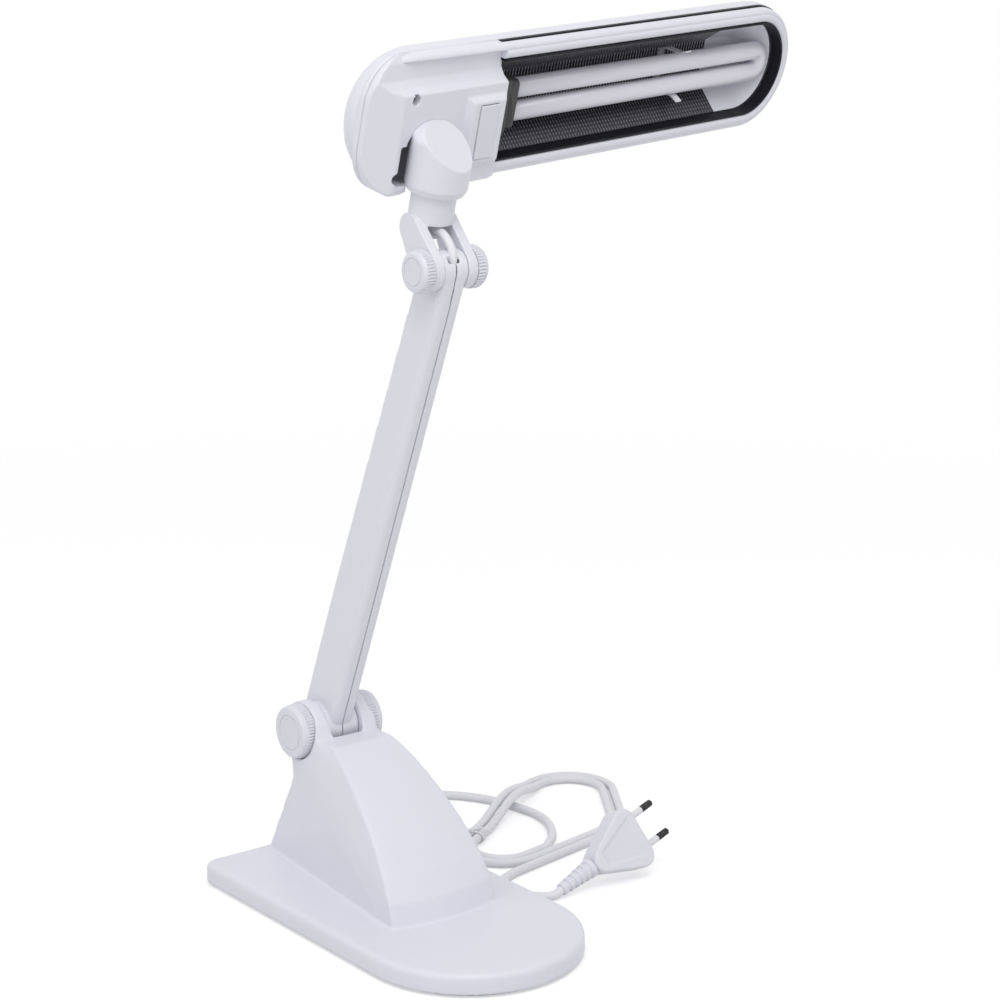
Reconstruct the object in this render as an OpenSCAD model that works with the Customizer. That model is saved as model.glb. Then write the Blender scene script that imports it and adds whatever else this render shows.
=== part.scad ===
// Fluorescent desk lamp: weighted base, one straight arm with a clamp hinge at each end,
// a swivelling neck and a long head with a twin-tube lamp.
// Millimetres, +Z up, front towards -Y. Origin: centre of the plate, on the table.

/* [Base] */
// Width of the base plate
base_w = 120; // [110:1:140]
// Length of the base plate, front to rear
base_l = 229; // [215:1:250]
// Height of the plate's top above the table
plate_top = 12.7; // [11.5:0.1:16]
// Radius of the plate's rear corners
rear_r = 8; // [6:0.5:12]
// Rounding of the plate's top edge
plate_round = 3; // [1:0.5:3.5]
// Wall of the base moulding
base_wall = 2.4; // [1.8:0.1:3]
// Thickness of the felt pad
pad_t = 1.2; // [0.8:0.1:2]
// Inset of the felt pad from the plate's edge
pad_inset = 4; // [3:0.5:5]
// Thickness of the steel bottom cover
cover_t = 2; // [1.8:0.1:2.4]

/* [Pedestal] */
// Half width of the pedestal's foot at the front
foot_front_hw = 34.5; // [30:0.5:40]
// Half width of the pedestal at the rear
foot_rear_hw = 17.5; // [16:0.5:22]
// Gap from the pedestal's rear foot to the plate's rear edge
foot_rear_gap = 4.8; // [4:0.2:10]
// Reach of the pedestal's front foot ahead of the hinge
foot_reach = 109.5; // [100:0.5:120]
// Reach of the pedestal's top front edge ahead of the hinge
brow_reach = 22.4; // [20:0.2:24]
// Drop of the top front edge below the hinge
brow_drop = 1.6; // [1:0.2:6]
// Half width of the top front edge
brow_hw = 18; // [17:0.2:18.4]
// Radius of the convex front face, seen from the side
front_bulge_r = 180; // [160:1:260]
// Height of the waist behind the hinge
waist_z = 63.7; // [58:0.5:68]
// Waist's distance behind the hinge
waist_back = 4.7; // [4:0.2:8]

/* [Lower hinge] */
// Distance of the hinge ahead of the plate's rear edge
hinge_rear = 40.8; // [38:0.2:46]
// Height of the lower hinge
hinge_z = 91.4; // [86:0.2:100]
// Radius of the pedestal's ears
ear_r = 16; // [15:0.5:18]
// Width of each ear
ear_w = 7.2; // [6:0.2:9]
// Radius of the arm's lower barrel
lower_barrel_r = 13.5; // [12.5:0.25:14.5]
// Half width of the arm's lower barrel
lower_barrel_hw = 10.5; // [9.5:0.25:12]
// Radius of the lower hinge bolt
lower_bolt_r = 3; // [2.5:0.25:3.5]
// Radius of the lower knobs
lower_knob_r = 15; // [13.5:0.5:17]
// Width of the lower knobs
lower_knob_w = 8.1; // [8:0.1:10]

/* [Arm] */
// Distance between the two hinges
arm_len = 286.4; // [260:0.2:320]
// Lean of the arm at rest, forward from upright
arm_lean = 22.5; // [10:0.5:30]
// Half thickness of the arm, along the hinge
arm_hx = 7.2; // [6.8:0.1:8.5]
// Half depth of the arm
arm_hy = 11; // [10.5:0.25:12.5]
// Depth that the arm gains at the rear towards its foot
arm_flare = 7; // [4:0.5:9]
// Corner radius of the arm's section
arm_corner = 4; // [3:0.25:5]
// Wall of the arm's half shells
arm_wall = 2.2; // [1.8:0.1:2.6]
// Gap along the seam between the half shells
seam_gap = 0.6; // [0.3:0.1:0.9]

/* [Upper hinge and neck] */
// Radius of the arm's upper barrel
upper_barrel_r = 10; // [9.5:0.25:10.5]
// Radius of the fork cheeks' round ends
cheek_r = 10.5; // [10:0.25:11.5]
// Thickness of each fork cheek
cheek_w = 5.5; // [4.5:0.25:6.5]
// Radius of the upper hinge bolt
upper_bolt_r = 2.5; // [2:0.1:2.75]
// Radius of the upper knobs
upper_knob_r = 11; // [9.5:0.25:11.5]
// Width of the upper knobs
upper_knob_w = 6.8; // [6.6:0.1:8]
// Lean of the neck at rest
neck_lean = 16; // [0:0.5:30]
// Distance of the swivel axis behind the upper hinge
swivel_back = 18.5; // [17.5:0.25:21]
// Radius of the neck collar
collar_r = 11.5; // [11:0.25:12.5]
// Height of the collar's underside over the hinge
collar_z = 19.2; // [18:0.2:22]
// Length of the collar
collar_h = 15.1; // [13:0.2:17]
// Radius of the swivel spigot
spigot_r = 8; // [7.5:0.25:8.5]
// Length of the swivel bearing
spigot_h = 6.3; // [5:0.2:8]
// Radius of the cable bore through the spigot
cable_bore_r = 4; // [3.5:0.25:4.5]

/* [Head] */
// Turn of the head about the swivel at rest
swivel_rest = 11; // [0:0.5:30]
// Radius of the elbow barrel
elbow_r = 16.15; // [15.5:0.1:17.5]
// Distance of the head's rim plane behind the swivel axis
rim_back = 11; // [10.5:0.1:12]
// Height of the head's centre line over the upper hinge
head_up = 65.4; // [64.5:0.2:68]
// Half width of the head
head_hw = 36; // [34:0.5:40]
// Reach of the head from the swivel axis to its tip
head_tip = 306.5; // [290:0.5:330]
// Reach of the head from the swivel axis to its rear end
head_rear = 40; // [37:0.5:42]
// Corner radius of the head's rear end
head_corner = 25; // [18:0.5:30]
// Wall of the head's shells
head_wall = 2.2; // [1.8:0.1:2.6]
// Depth of the head's back behind the rim plane
head_depth = 36; // [34:0.5:40]
// Depth at which the top shell's dome begins
dome_start = 12; // [11:0.25:13]
// Depth of the top shell's rim
seam_d = 8.3; // [7.8:0.1:9]
// Width of the dark slit under the top shell's rim
slit = 2; // [1.5:0.1:2.5]
// Half width of the lamp opening
opening_hw = 27.4; // [26:0.2:28]
// Where the rear cover ends and the opening begins
opening_a = 52.6; // [51:0.2:55]
// Height of the rear cover's plateau over the rim plane
plateau = 3; // [2:0.2:4]

/* [Lamp and switch] */
// Radius of the lamp tubes
tube_r = 5.25; // [4.5:0.05:5.4]
// Distance between the two tubes
tube_pitch = 12.7; // [12:0.1:13.4]
// Depth of the tubes' axes behind the rim plane
tube_d = 12.4; // [12:0.2:13]
// Gap from the lamp's tip to the head's tip
lamp_tip_gap = 10.5; // [9.5:0.5:16]
// Length of the lamp's cap
cap_len = 7; // [5:0.5:14]
// End of the reflector, from the swivel axis
reflector_end = 253; // [240:1:256]
// Height of the switch box over the plateau
switch_rise = 3.5; // [3:0.1:4.5]
// Travel of the switch button
switch_travel = 2; // [1:0.1:2.2]
// Width of the switch button along the head
button_l = 13.2; // [11:0.2:14]
// Length of the switch button across the head
button_w = 28; // [24:0.5:29]

/* [Cord] */
// Diameter of the mains cord
cord_d = 5.2; // [4.4:0.1:5.4]
// Distance between neighbouring turns of the hank
hank_step = 6.4; // [6.2:0.1:6.8]
// Turns of the hank
hank_turns = 2; // [1:1:2]
// Radius of the plug's pins
pin_r = 2; // [1.9:0.05:2.4]
// Distance between the plug's pins
pin_pitch = 18.6; // [17:0.1:19]
// Length of the pins outside the plug
pin_len = 19; // [17:0.5:20]

/* [Fits] */
// Radial clearance of pins and spigots in their bores
fit = 0.05; // [0.03:0.01:0.1]
// Gap between parts that turn or slide past each other
run_gap = 0.3; // [0.25:0.05:0.4]

/* [Hidden] */
$fn = 64;
hull_fn = 32;
eps = 0.01;
over = 1;

// Base
rear_y = base_l / 2;
arc_y = -base_l / 2 + base_w / 2;
hinge_y = rear_y - hinge_rear;
floor_z = pad_t + cover_t;
ceiling_z = plate_top - base_wall;
ear_in = lower_barrel_hw + run_gap;
ear_out = ear_in + ear_w;
pocket_r = lower_barrel_r + 2.5 * run_gap;
flare_foot = 6;
boss_r = 4;
boss_edge = 9.5;
screw_r = 1.5;
screw_head_r = 3;
screw_head_h = 1.4;
base_bosses = [
    for (s = [-1, 1]) [s * (base_w / 2 - boss_edge) * sin(45), arc_y - (base_w / 2 - boss_edge) * cos(45)],
    for (s = [-1, 1]) [s * (base_w / 2 - boss_edge - base_wall), rear_y - boss_edge - base_wall]
];
gland_x = 20;
gland_r = 4;
gland_z = (floor_z + ceiling_z) / 2;
gland_len = 24;

// Hinges
upper_y = hinge_y - arm_len * sin(arm_lean);
upper_z = hinge_z + arm_len * cos(arm_lean);
cheek_in = arm_hx + run_gap;
cheek_out = cheek_in + cheek_w;
washer_t = 1;
knob_floor = 2;
nut_h = 3;
bolt_head_h = 3;
arm_screw_z = [for (share = [0.245, 0.525, 0.803]) share * arm_len];
arm_boss_y = -4.5;
arm_boss_r = 3.2;
flex_r = 2.2;
slot_y = -6.2;

// Neck and swivel
collar_top = collar_z + collar_h;
elbow_z = collar_top + run_gap;
shelf_z = elbow_z + spigot_h;
thread_r = spigot_r - 2;
ring_h = 3;
ring_r = spigot_r + 2.5;
elbow_slope = 30;
elbow_cut_z = head_up - 9;

// Head, in its own frame: x along the head, y into its depth, z across it
tip_c = head_tip - head_hw;
tube_c = head_tip - lamp_tip_gap - tube_r - tube_pitch / 2;
notch_a = [-20, elbow_r - 1];
elbow_b = elbow_cut_z - head_up;
cover_screws = [[-14.5, 14.4], [-20.3, -25.5]];
head_boss_r = 4.5;
head_screw_r = 1.4;
well_r = 2.8;
well_floor = 3;
liner_t = 1.2;
sheet = 0.8;
holder_a = opening_a + 1;
holder_len = 10;
cap_a = holder_a + holder_len + run_gap;
trough_mouth = opening_hw - liner_t - run_gap;
trough_floor = 12;
trough_d = 25;
trough_lip_d = seam_d + 0.8;
clip_a = 213;
clip_w = 5;
switch_a = 37.1;
switch_b = -6.5;
switch_skin = 2;
switch_margin = 5;
stem_r = 2.5;
flange_t = 1.2;

function unit(v) = v / norm(v);
function along_arm(y, z) = [0, upper_y + y * cos(arm_lean) - z * sin(arm_lean),
    upper_z + y * sin(arm_lean) + z * cos(arm_lean)];
function along_neck(y, z) = [0, upper_y + y * cos(neck_lean) - z * sin(neck_lean),
    upper_z + y * sin(neck_lean) + z * cos(neck_lean)];

// Points of the arc of radius r from a to b, bulging to the right of the way from a to b
function arc_2d(a, b, r, n) =
    let (m = (a + b) / 2, d = unit(b - a), h = norm(b - a) / 2,
        c = m - sqrt(r * r - h * h) * [d[1], -d[0]],
        a0 = atan2(a[1] - c[1], a[0] - c[0]), a1 = atan2(b[1] - c[1], b[0] - c[0]))
    [for (i = [0 : n]) c + r * [cos(a0 + (a1 - a0) * i / n), sin(a0 + (a1 - a0) * i / n)]];

// Frames of the moving groups at rest
module at_arm() { translate([0, hinge_y, hinge_z]) rotate([arm_lean, 0, 0]) children(); }
module at_neck() { translate([0, upper_y, upper_z]) rotate([neck_lean, 0, 0]) children(); }
module at_swivel() { at_neck() translate([0, swivel_back, 0]) rotate([0, 0, swivel_rest]) children(); }
module at_head() { at_swivel() translate([0, rim_back, head_up]) children(); }

// Extrusions named by the axis that they run along
module along_x(x0, x1) { translate([x0, 0, 0]) rotate([90, 0, 90]) linear_extrude(x1 - x0) children(); }
module along_y(y0, y1) { translate([0, y1, 0]) rotate([90, 0, 0]) linear_extrude(y1 - y0) children(); }
module rod_x(x0, x1, r) { translate([x0, 0, 0]) rotate([0, 90, 0]) cylinder(r = r, h = x1 - x0); }
module rod_y(y0, y1, r) { translate([0, y0, 0]) rotate([-90, 0, 0]) cylinder(r = r, h = y1 - y0); }
module both_sides() { children(); mirror([1, 0, 0]) children(); }
module both_edges() { children(); mirror([0, 0, 1]) children(); }
module block(x, y, z) {
    translate([x[0], y[0], z[0]]) cube([x[1] - x[0], y[1] - y[0], z[1] - z[0]]);
}

// Rectangle with round corners about the origin
module round_rect(hx, hy, r) {
    square([2 * hx, 2 * (hy - r)], center = true);
    square([2 * (hx - r), 2 * hy], center = true);
    for (sx = [-1, 1], sy = [-1, 1]) translate([sx * (hx - r), sy * (hy - r)]) circle(r = r);
}

// Base body
module plate_plan(inset) {
    translate([0, arc_y]) circle(r = base_w / 2 - inset);
    translate([inset - base_w / 2, arc_y]) square([base_w - 2 * inset, rear_y - rear_r - arc_y]);
    translate([rear_r - base_w / 2, arc_y]) square([base_w - 2 * rear_r, rear_y - inset - arc_y]);
    for (s = [-1, 1]) translate([s * (base_w / 2 - rear_r), rear_y - rear_r]) circle(r = rear_r - inset);
}

module plate_block() {
    hull() {
        translate([0, 0, pad_t]) linear_extrude(plate_top - plate_round - pad_t) plate_plan(0);
        for (q = [30, 60, 90])
            translate([0, 0, plate_top - plate_round * (1 - sin(q)) - eps])
                linear_extrude(eps) plate_plan(plate_round * (1 - cos(q)));
    }
}

// Corner points of the front face, from the brow down to the foot
brow = [hinge_y - brow_reach, hinge_z - brow_drop];
foot = [hinge_y - foot_reach, plate_top];
front_edge = arc_2d(brow, foot, front_bulge_r, 8);
brow_sag = 1.5;
brow_wall = 3;
foot_sag = 5;

// One level of the pedestal: straight sides, narrow rear, front edge drawn as an arc
module pedestal_level(hw, y, sag, inset) {
    corner = [hw - inset, y + inset];
    rear = rear_y - inset;
    polygon(concat([[inset - foot_rear_hw, rear], [-corner[0], corner[1]]],
        [for (i = [-3 : 3]) [corner[0] * i / 4, corner[1] - sag * (1 - pow(i / 4, 2))]],
        [[corner[0], corner[1]], [foot_rear_hw - inset, rear]]));
}

module pedestal_loft(inset) {
    n = len(front_edge) - 1;
    hull() {
        for (i = [0 : n])
            translate([0, 0, i == n ? floor_z - eps : front_edge[i][1]])
                linear_extrude(eps)
                    pedestal_level(brow_hw + (foot_front_hw - brow_hw) * i / n, front_edge[i][0],
                        brow_sag + (foot_sag - brow_sag) * i / n, inset);
        translate([0, 0, hinge_z + ear_r])
            linear_extrude(eps) pedestal_level(brow_hw, brow[0] + ear_r / 2, brow_sag, inset);
    }
}

// Side view of the pedestal down to height low, with the tangent from the brow to the ear
module pedestal_side(low) {
    v = brow - [hinge_y, hinge_z];
    t = atan2(v[1], v[0]) - acos(ear_r / norm(v));
    polygon([
        [rear_y - foot_rear_gap, low], [rear_y - foot_rear_gap, plate_top],
        [hinge_y + waist_back, waist_z], [hinge_y + waist_back + 1.6, hinge_z - ear_r + 0.6],
        [hinge_y, hinge_z], [hinge_y + ear_r * cos(t), hinge_z + ear_r * sin(t)],
        [brow[0], brow[1]], [foot[0] - 2 * foot_sag, brow[1]], [foot[0] - 2 * foot_sag, low]
    ]);
}

module base_shell() color("whitesmoke") difference() {
    union() {
        plate_block();
        intersection() {
            pedestal_loft(0);
            along_x(-base_w / 2, base_w / 2) pedestal_side(ceiling_z);
        }
        translate([0, hinge_y, hinge_z]) rod_x(-ear_out, ear_out, ear_r);
    }
    difference() {
        translate([0, 0, pad_t - over]) linear_extrude(ceiling_z - pad_t + over) plate_plan(base_wall);
        for (p = base_bosses) translate([p[0], p[1], floor_z]) cylinder(r = boss_r, h = ceiling_z);
    }
    intersection() {
        pedestal_loft(base_wall);
        along_x(-base_w / 2, base_w / 2) offset(delta = -base_wall) pedestal_side(0);
        translate([-base_w / 2, -base_l / 2, floor_z])
            cube([base_w, base_l, hinge_z - pocket_r - base_wall - floor_z]);
    }
    translate([0, hinge_y, hinge_z]) {
        rod_x(-ear_in, ear_in, pocket_r);
        block([-ear_in, ear_in], [-2 * ear_r, 2 * ear_r], [-brow_drop, 2 * ear_r]);
        block([-ear_in, ear_in], [brow_wall - brow_reach, 0], [-lower_barrel_r / 2 - brow_drop, 0]);
        rod_x(-base_w, base_w, lower_bolt_r + fit);
        both_sides() rod_x(ear_out, base_w, lower_knob_r + 2 * run_gap);
    }
    for (p = base_bosses)
        translate([p[0], p[1], floor_z - over]) cylinder(r = screw_r + fit, h = ceiling_z - floor_z);
    translate([gland_x, 0, gland_z]) rod_y(rear_y - base_wall - over, rear_y + over, gland_r + fit);
}

module base_cover() color("silver") difference() {
    translate([0, 0, pad_t]) linear_extrude(cover_t) plate_plan(base_wall + run_gap);
    for (p = base_bosses) translate([p[0], p[1], 0]) {
        cylinder(r = screw_r + fit, h = floor_z + over);
        cylinder(r = screw_head_r + fit, h = pad_t + screw_head_h);
    }
}

module base_pad() color("dimgray") linear_extrude(pad_t) plate_plan(pad_inset);

module base_screws() color("silver")
    for (p = base_bosses) translate([p[0], p[1], pad_t]) {
        cylinder(r = screw_head_r, h = screw_head_h);
        cylinder(r = screw_r, h = ceiling_z - pad_t - over - run_gap);
    }

// Steel slab in the front of the plate, on the bottom cover
ballast_edge = 15;
ballast_back = 36;
module ballast_weight() color("slategray") translate([0, 0, floor_z])
    linear_extrude(ceiling_z - floor_z - run_gap) {
    translate([0, arc_y]) circle(r = base_w / 2 - ballast_edge);
    translate([ballast_edge - base_w / 2, arc_y]) square([base_w - 2 * ballast_edge, ballast_back]);
}

// Choke: a closed iron core whose middle limb carries the winding
core = [24, 44, 30];
limb = 10;
window = [7, 18];
winding_over = 5;
choke_y = rear_y - 74.5;
module at_choke() { translate([0, choke_y, floor_z + core[2] / 2]) children(); }
module choke_core() color("dimgray") at_choke() difference() {
    cube(core, center = true);
    for (s = [-1, 1]) translate([0, s * (limb + window[0]) / 2, 0])
        cube([core[0] + 2 * over, window[0], window[1]], center = true);
}
module choke_winding() color("goldenrod") at_choke() difference() {
    cube([core[0] + 2 * winding_over, limb + 2 * window[0] - run_gap, window[1] - run_gap], center = true);
    cube([core[0] + run_gap, limb + run_gap, window[1] + over], center = true);
}

// Terminal block with six clamp wells, on the cover behind the choke
terminal = [22, 12, 9];
terminal_y = rear_y - 32.5;
module terminal_block() color("ivory") translate([0, terminal_y, floor_z]) difference() {
    translate([-terminal[0] / 2, -terminal[1] / 2, 0]) cube(terminal);
    for (i = [-1 : 1], s = [-1, 1])
        translate([i * terminal[0] / 3, s * terminal[1] / 4, terminal[2] / 2])
            cylinder(r = 1.6, h = terminal[2]);
}

// Cord gland: flange inside the skirt, neck in the hole, tapered sleeve outside
sleeve_r = cord_d / 2 + 0.6;
module cord_gland() color("white") translate([gland_x, rear_y, gland_z])
    rotate([-90, 0, 0]) rotate_extrude()
    polygon([
        [0, -base_wall - 1.6], [ceiling_z - gland_z - run_gap, -base_wall - 1.6],
        [ceiling_z - gland_z - run_gap, -base_wall], [gland_r, -base_wall], [gland_r, 0],
        [gland_r + 1, 0], [gland_r + 1, 1.6], [gland_r, 2.4], [sleeve_r, gland_len], [0, gland_len]
    ]);

// Ribbed knob about +X, with its inner face at x = 0
rib_ring = 4;
rib_depth = 0.7;
rib_r = 0.75;
ribs = 30;
module rib_plan(r) difference() {
    circle(r = r);
    for (i = [0 : ribs - 1]) rotate((i + 0.5) * 360 / ribs)
        translate([r + rib_r - rib_depth, 0]) circle(r = rib_r);
}
module knob(r, w, shaft_r, washer_r) rotate([0, 90, 0]) difference() {
    union() {
        linear_extrude(rib_ring) rib_plan(r);
        rotate_extrude() polygon([
            [0, rib_ring - 0.5], [r - 1, rib_ring - 0.5], [r - 0.6, rib_ring + 0.3],
            [r - 0.6, w - 1.2], [r - 1.6, w], [0, w]
        ]);
    }
    translate([0, 0, -over]) cylinder(r = washer_r, h = washer_t + over + run_gap);
    translate([0, 0, -over]) cylinder(r = shaft_r, h = w - knob_floor + over);
    translate([0, 0, w - 0.5]) difference() {
        cylinder(r = r * 0.66, h = over);
        cylinder(r = r * 0.66 - 0.7, h = over);
    }
}

// Bolt with a round head, moulded into the left knob
module hinge_bolt(reach, r) {
    rod_x(-reach, reach, r);
    rod_x(-reach, bolt_head_h - reach, 1.7 * r);
}
module left_knob(out, w, r, bolt_r) {
    difference() {
        mirror([1, 0, 0]) translate([out + run_gap, 0, 0])
            knob(r, w, bolt_r + fit, washer_r(bolt_r) + run_gap);
        rod_x(knob_floor - out - run_gap - w - fit, knob_floor + bolt_head_h + fit - out - run_gap - w,
            1.7 * bolt_r + fit);
    }
}
module right_knob(out, w, r, bolt_r) {
    difference() {
        translate([out + run_gap, 0, 0]) knob(r, w, bolt_r + run_gap, washer_r(bolt_r) + run_gap);
        translate([out + run_gap + w - knob_floor - nut_h - fit, 0, 0])
            rotate([0, 90, 0]) cylinder(r = 2 * bolt_r + fit, h = nut_h + fit, $fn = 6);
    }
}
module hinge_nut(out, w, bolt_r) {
    translate([out + run_gap + w - knob_floor - nut_h, 0, 0]) rotate([0, 90, 0]) difference() {
        cylinder(r = 2 * bolt_r, h = nut_h - fit, $fn = 6);
        translate([0, 0, -over]) cylinder(r = bolt_r + fit, h = nut_h + 2 * over);
    }
}
module washers(out, bolt_r) both_sides() difference() {
    rod_x(out, out + washer_t, washer_r(bolt_r));
    rod_x(out - over, out + washer_t + over, bolt_r + run_gap);
}
function washer_r(bolt_r) = 2.6 * bolt_r;
lower_reach = ear_out + run_gap + lower_knob_w - knob_floor;
upper_reach = cheek_out + run_gap + upper_knob_w - knob_floor;

module lower_washers() color("silver") translate([0, hinge_y, hinge_z]) washers(ear_out, lower_bolt_r);
module lower_knob_left() color("white") translate([0, hinge_y, hinge_z])
    left_knob(ear_out, lower_knob_w, lower_knob_r, lower_bolt_r);
module lower_knob_right() color("white") translate([0, hinge_y, hinge_z])
    right_knob(ear_out, lower_knob_w, lower_knob_r, lower_bolt_r);
module lower_hinge_bolt() color("silver") translate([0, hinge_y, hinge_z])
    hinge_bolt(lower_reach, lower_bolt_r);
module lower_hinge_nut() color("silver") translate([0, hinge_y, hinge_z])
    hinge_nut(ear_out, lower_knob_w, lower_bolt_r);

// Arm: two half shells that meet along a seam
module arm_side() {
    square_h = arm_len - 1.6 * upper_barrel_r;
    polygon([[-arm_hy, 0], [arm_hy, 0], [arm_hy + arm_flare, flare_foot], [arm_hy, square_h],
        [upper_barrel_r, arm_len], [-upper_barrel_r, arm_len], [-arm_hy, square_h]]);
}
module arm_solid() {
    intersection() {
        linear_extrude(arm_len) translate([0, arm_flare / 2])
            round_rect(arm_hx, arm_hy + arm_flare / 2, arm_corner);
        along_x(-arm_hx, arm_hx) arm_side();
    }
    rod_x(-lower_barrel_hw, lower_barrel_hw, lower_barrel_r);
    translate([0, 0, arm_len]) rod_x(-arm_hx, arm_hx, upper_barrel_r);
}
module arm_hollow() {
    translate([0, 0, lower_barrel_r + arm_wall])
        linear_extrude(arm_len - lower_barrel_r - upper_barrel_r - 2 * arm_wall)
            round_rect(arm_hx - arm_wall, arm_hy - arm_wall, arm_corner - arm_wall);
    rod_x(-over - lower_barrel_hw, over + lower_barrel_hw, lower_bolt_r + fit);
    translate([0, 0, arm_len]) {
        rod_x(-over - arm_hx, over + arm_hx, upper_bolt_r + fit);
        block([-2 * flex_r, 2 * flex_r], [slot_y - flex_r - 0.7, slot_y + flex_r + 0.7],
            [-upper_barrel_r - 2 * arm_wall, upper_barrel_r]);
    }
}
module arm_half(side) {
    x0 = side > 0 ? seam_gap / 2 : -2 * lower_barrel_hw;
    difference() {
        union() {
            intersection() {
                difference() {
                    arm_solid();
                    arm_hollow();
                }
                block([x0, x0 + 2 * lower_barrel_hw - seam_gap / 2], [-2 * arm_hy, 2 * arm_hy + arm_flare],
                    [-2 * lower_barrel_r, arm_len + 2 * upper_barrel_r]);
            }
            for (z = arm_screw_z) translate([0, arm_boss_y, z])
                rod_x(side > 0 ? 0 : arm_wall / 2 - arm_hx, side > 0 ? arm_hx - arm_wall / 2 : 0,
                    arm_boss_r);
        }
        for (z = arm_screw_z) translate([0, arm_boss_y, z]) {
            rod_x(side > 0 ? -over : arm_wall - arm_hx, side > 0 ? arm_hx + over : over, 1.2 + fit);
            if (side > 0) rod_x(arm_hx - arm_wall, arm_hx + over, 2.4 + fit);
        }
    }
}
module arm_shell_left() color("whitesmoke") at_arm() arm_half(-1);
module arm_shell_right() color("white") at_arm() arm_half(1);
module arm_screws() color("silver") at_arm()
    for (z = arm_screw_z) translate([0, arm_boss_y, z]) {
        rod_x(arm_wall + run_gap - arm_hx, arm_hx - arm_wall + eps, 1.2);
        rod_x(arm_hx - arm_wall, arm_hx - 0.4, 2.4);
    }

// Tube of radius r along points p; up is a direction that the route never takes
function tangent(p, i) = unit(p[min(i + 1, len(p) - 1)] - p[max(i - 1, 0)]);
module tube(p, r, sides, up) {
    n = len(p);
    rings = [for (i = [0 : n - 1])
        let (t = tangent(p, i), s = unit(cross(t, up)), u = cross(s, t))
        for (k = [0 : sides - 1]) p[i] + r * (cos(360 * k / sides) * s + sin(360 * k / sides) * u)];
    walls = [for (i = [0 : n - 2], k = [0 : sides - 1])
        let (a = i * sides + k, b = i * sides + (k + 1) % sides)
        each [[a, b, b + sides], [a, b + sides, a + sides]]];
    first = [for (k = [sides - 1 : -1 : 0]) k];
    last = [for (k = [0 : sides - 1]) (n - 1) * sides + k];
    polyhedron(rings, concat([first], walls, [last]), convexity = 10);
}
// Smooth route through the points: a Catmull-Rom curve with n steps a span
function route(p, n) = [for (i = [0 : len(p) - 2], k = [0 : n - 1])
    let (a = p[max(i - 1, 0)], b = p[i], c = p[i + 1], d = p[min(i + 2, len(p) - 1)], f = k / n)
    ((2 * b) + (c - a) * f + (2 * a - 5 * b + 4 * c - d) * f * f
        + (3 * b - a - 3 * c + d) * f * f * f) / 2, p[len(p) - 1]];

// Cable inside the arm, then its bare stretch over the upper hinge into the collar
cable_y = arm_boss_y + arm_boss_r + flex_r + 0.4;
flex_start = [slot_y, -upper_barrel_r - 2.5];
arm_cable_route = [along_arm(cable_y, lower_barrel_r + arm_wall + 1 - arm_len),
    for (share = [0.63, 0.42, 0.175]) along_arm(cable_y, -share * arm_len),
    along_arm(cable_y - 2, -36), along_arm(slot_y + 1, -22),
    along_arm(slot_y, flex_start[1] - 5), along_arm(slot_y, flex_start[1])];
module arm_cable() color("dimgray") tube(arm_cable_route, flex_r, 8, [1, 0, 0]);

flex_route = [along_arm(slot_y, flex_start[1]), along_arm(slot_y, flex_start[1] + 4), along_arm(slot_y, 0),
    along_arm(slot_y, 6), along_arm(slot_y + 1.2, 11.5), along_neck(0, 15), along_neck(6.5, 16),
    along_neck(12.5, 16.2), along_neck(16.8, 18), along_neck(swivel_back, 22.5),
    along_neck(swivel_back, 27)];
module hinge_flex() color("whitesmoke") tube(flex_route, flex_r, 8, [1, 0, 0]);

// Neck: two cheeks that carry a collar and the swivel spigot
module link_2d(c, r0, r1) hull() {
    circle(r = r0);
    translate(c) circle(r = r1);
}
cheek_top_r = 7.4;
cheek_rise = 4;
module neck_fork() color("whitesmoke") at_neck() difference() {
    union() {
        both_sides() along_x(cheek_in, cheek_out)
            link_2d([swivel_back, collar_z + cheek_rise - cheek_top_r], cheek_r, cheek_top_r);
        translate([0, swivel_back, collar_z]) cylinder(r = collar_r, h = collar_h);
        translate([0, swivel_back, collar_z]) cylinder(r = spigot_r, h = shelf_z - collar_z + run_gap);
        translate([0, swivel_back, collar_z])
            cylinder(r = thread_r, h = shelf_z - collar_z + run_gap + ring_h + over);
    }
    rod_x(-2 * cheek_out, 2 * cheek_out, upper_bolt_r + fit);
    translate([0, swivel_back, 0]) cylinder(r = cable_bore_r, h = 2 * head_up);
}
module swivel_retainer() color("goldenrod")
    at_neck() translate([0, swivel_back, shelf_z + run_gap]) difference() {
    cylinder(r = ring_r, h = ring_h);
    translate([0, 0, -over]) cylinder(r = thread_r + fit, h = ring_h + 2 * over);
}
module upper_washers() color("silver") translate([0, upper_y, upper_z]) washers(cheek_out, upper_bolt_r);
module upper_knob_left() color("white") translate([0, upper_y, upper_z])
    left_knob(cheek_out, upper_knob_w, upper_knob_r, upper_bolt_r);
module upper_knob_right() color("white") translate([0, upper_y, upper_z])
    right_knob(cheek_out, upper_knob_w, upper_knob_r, upper_bolt_r);
module upper_hinge_bolt() color("silver") translate([0, upper_y, upper_z])
    hinge_bolt(upper_reach, upper_bolt_r);
module upper_hinge_nut() color("silver") translate([0, upper_y, upper_z])
    hinge_nut(cheek_out, upper_knob_w, upper_bolt_r);

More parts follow.
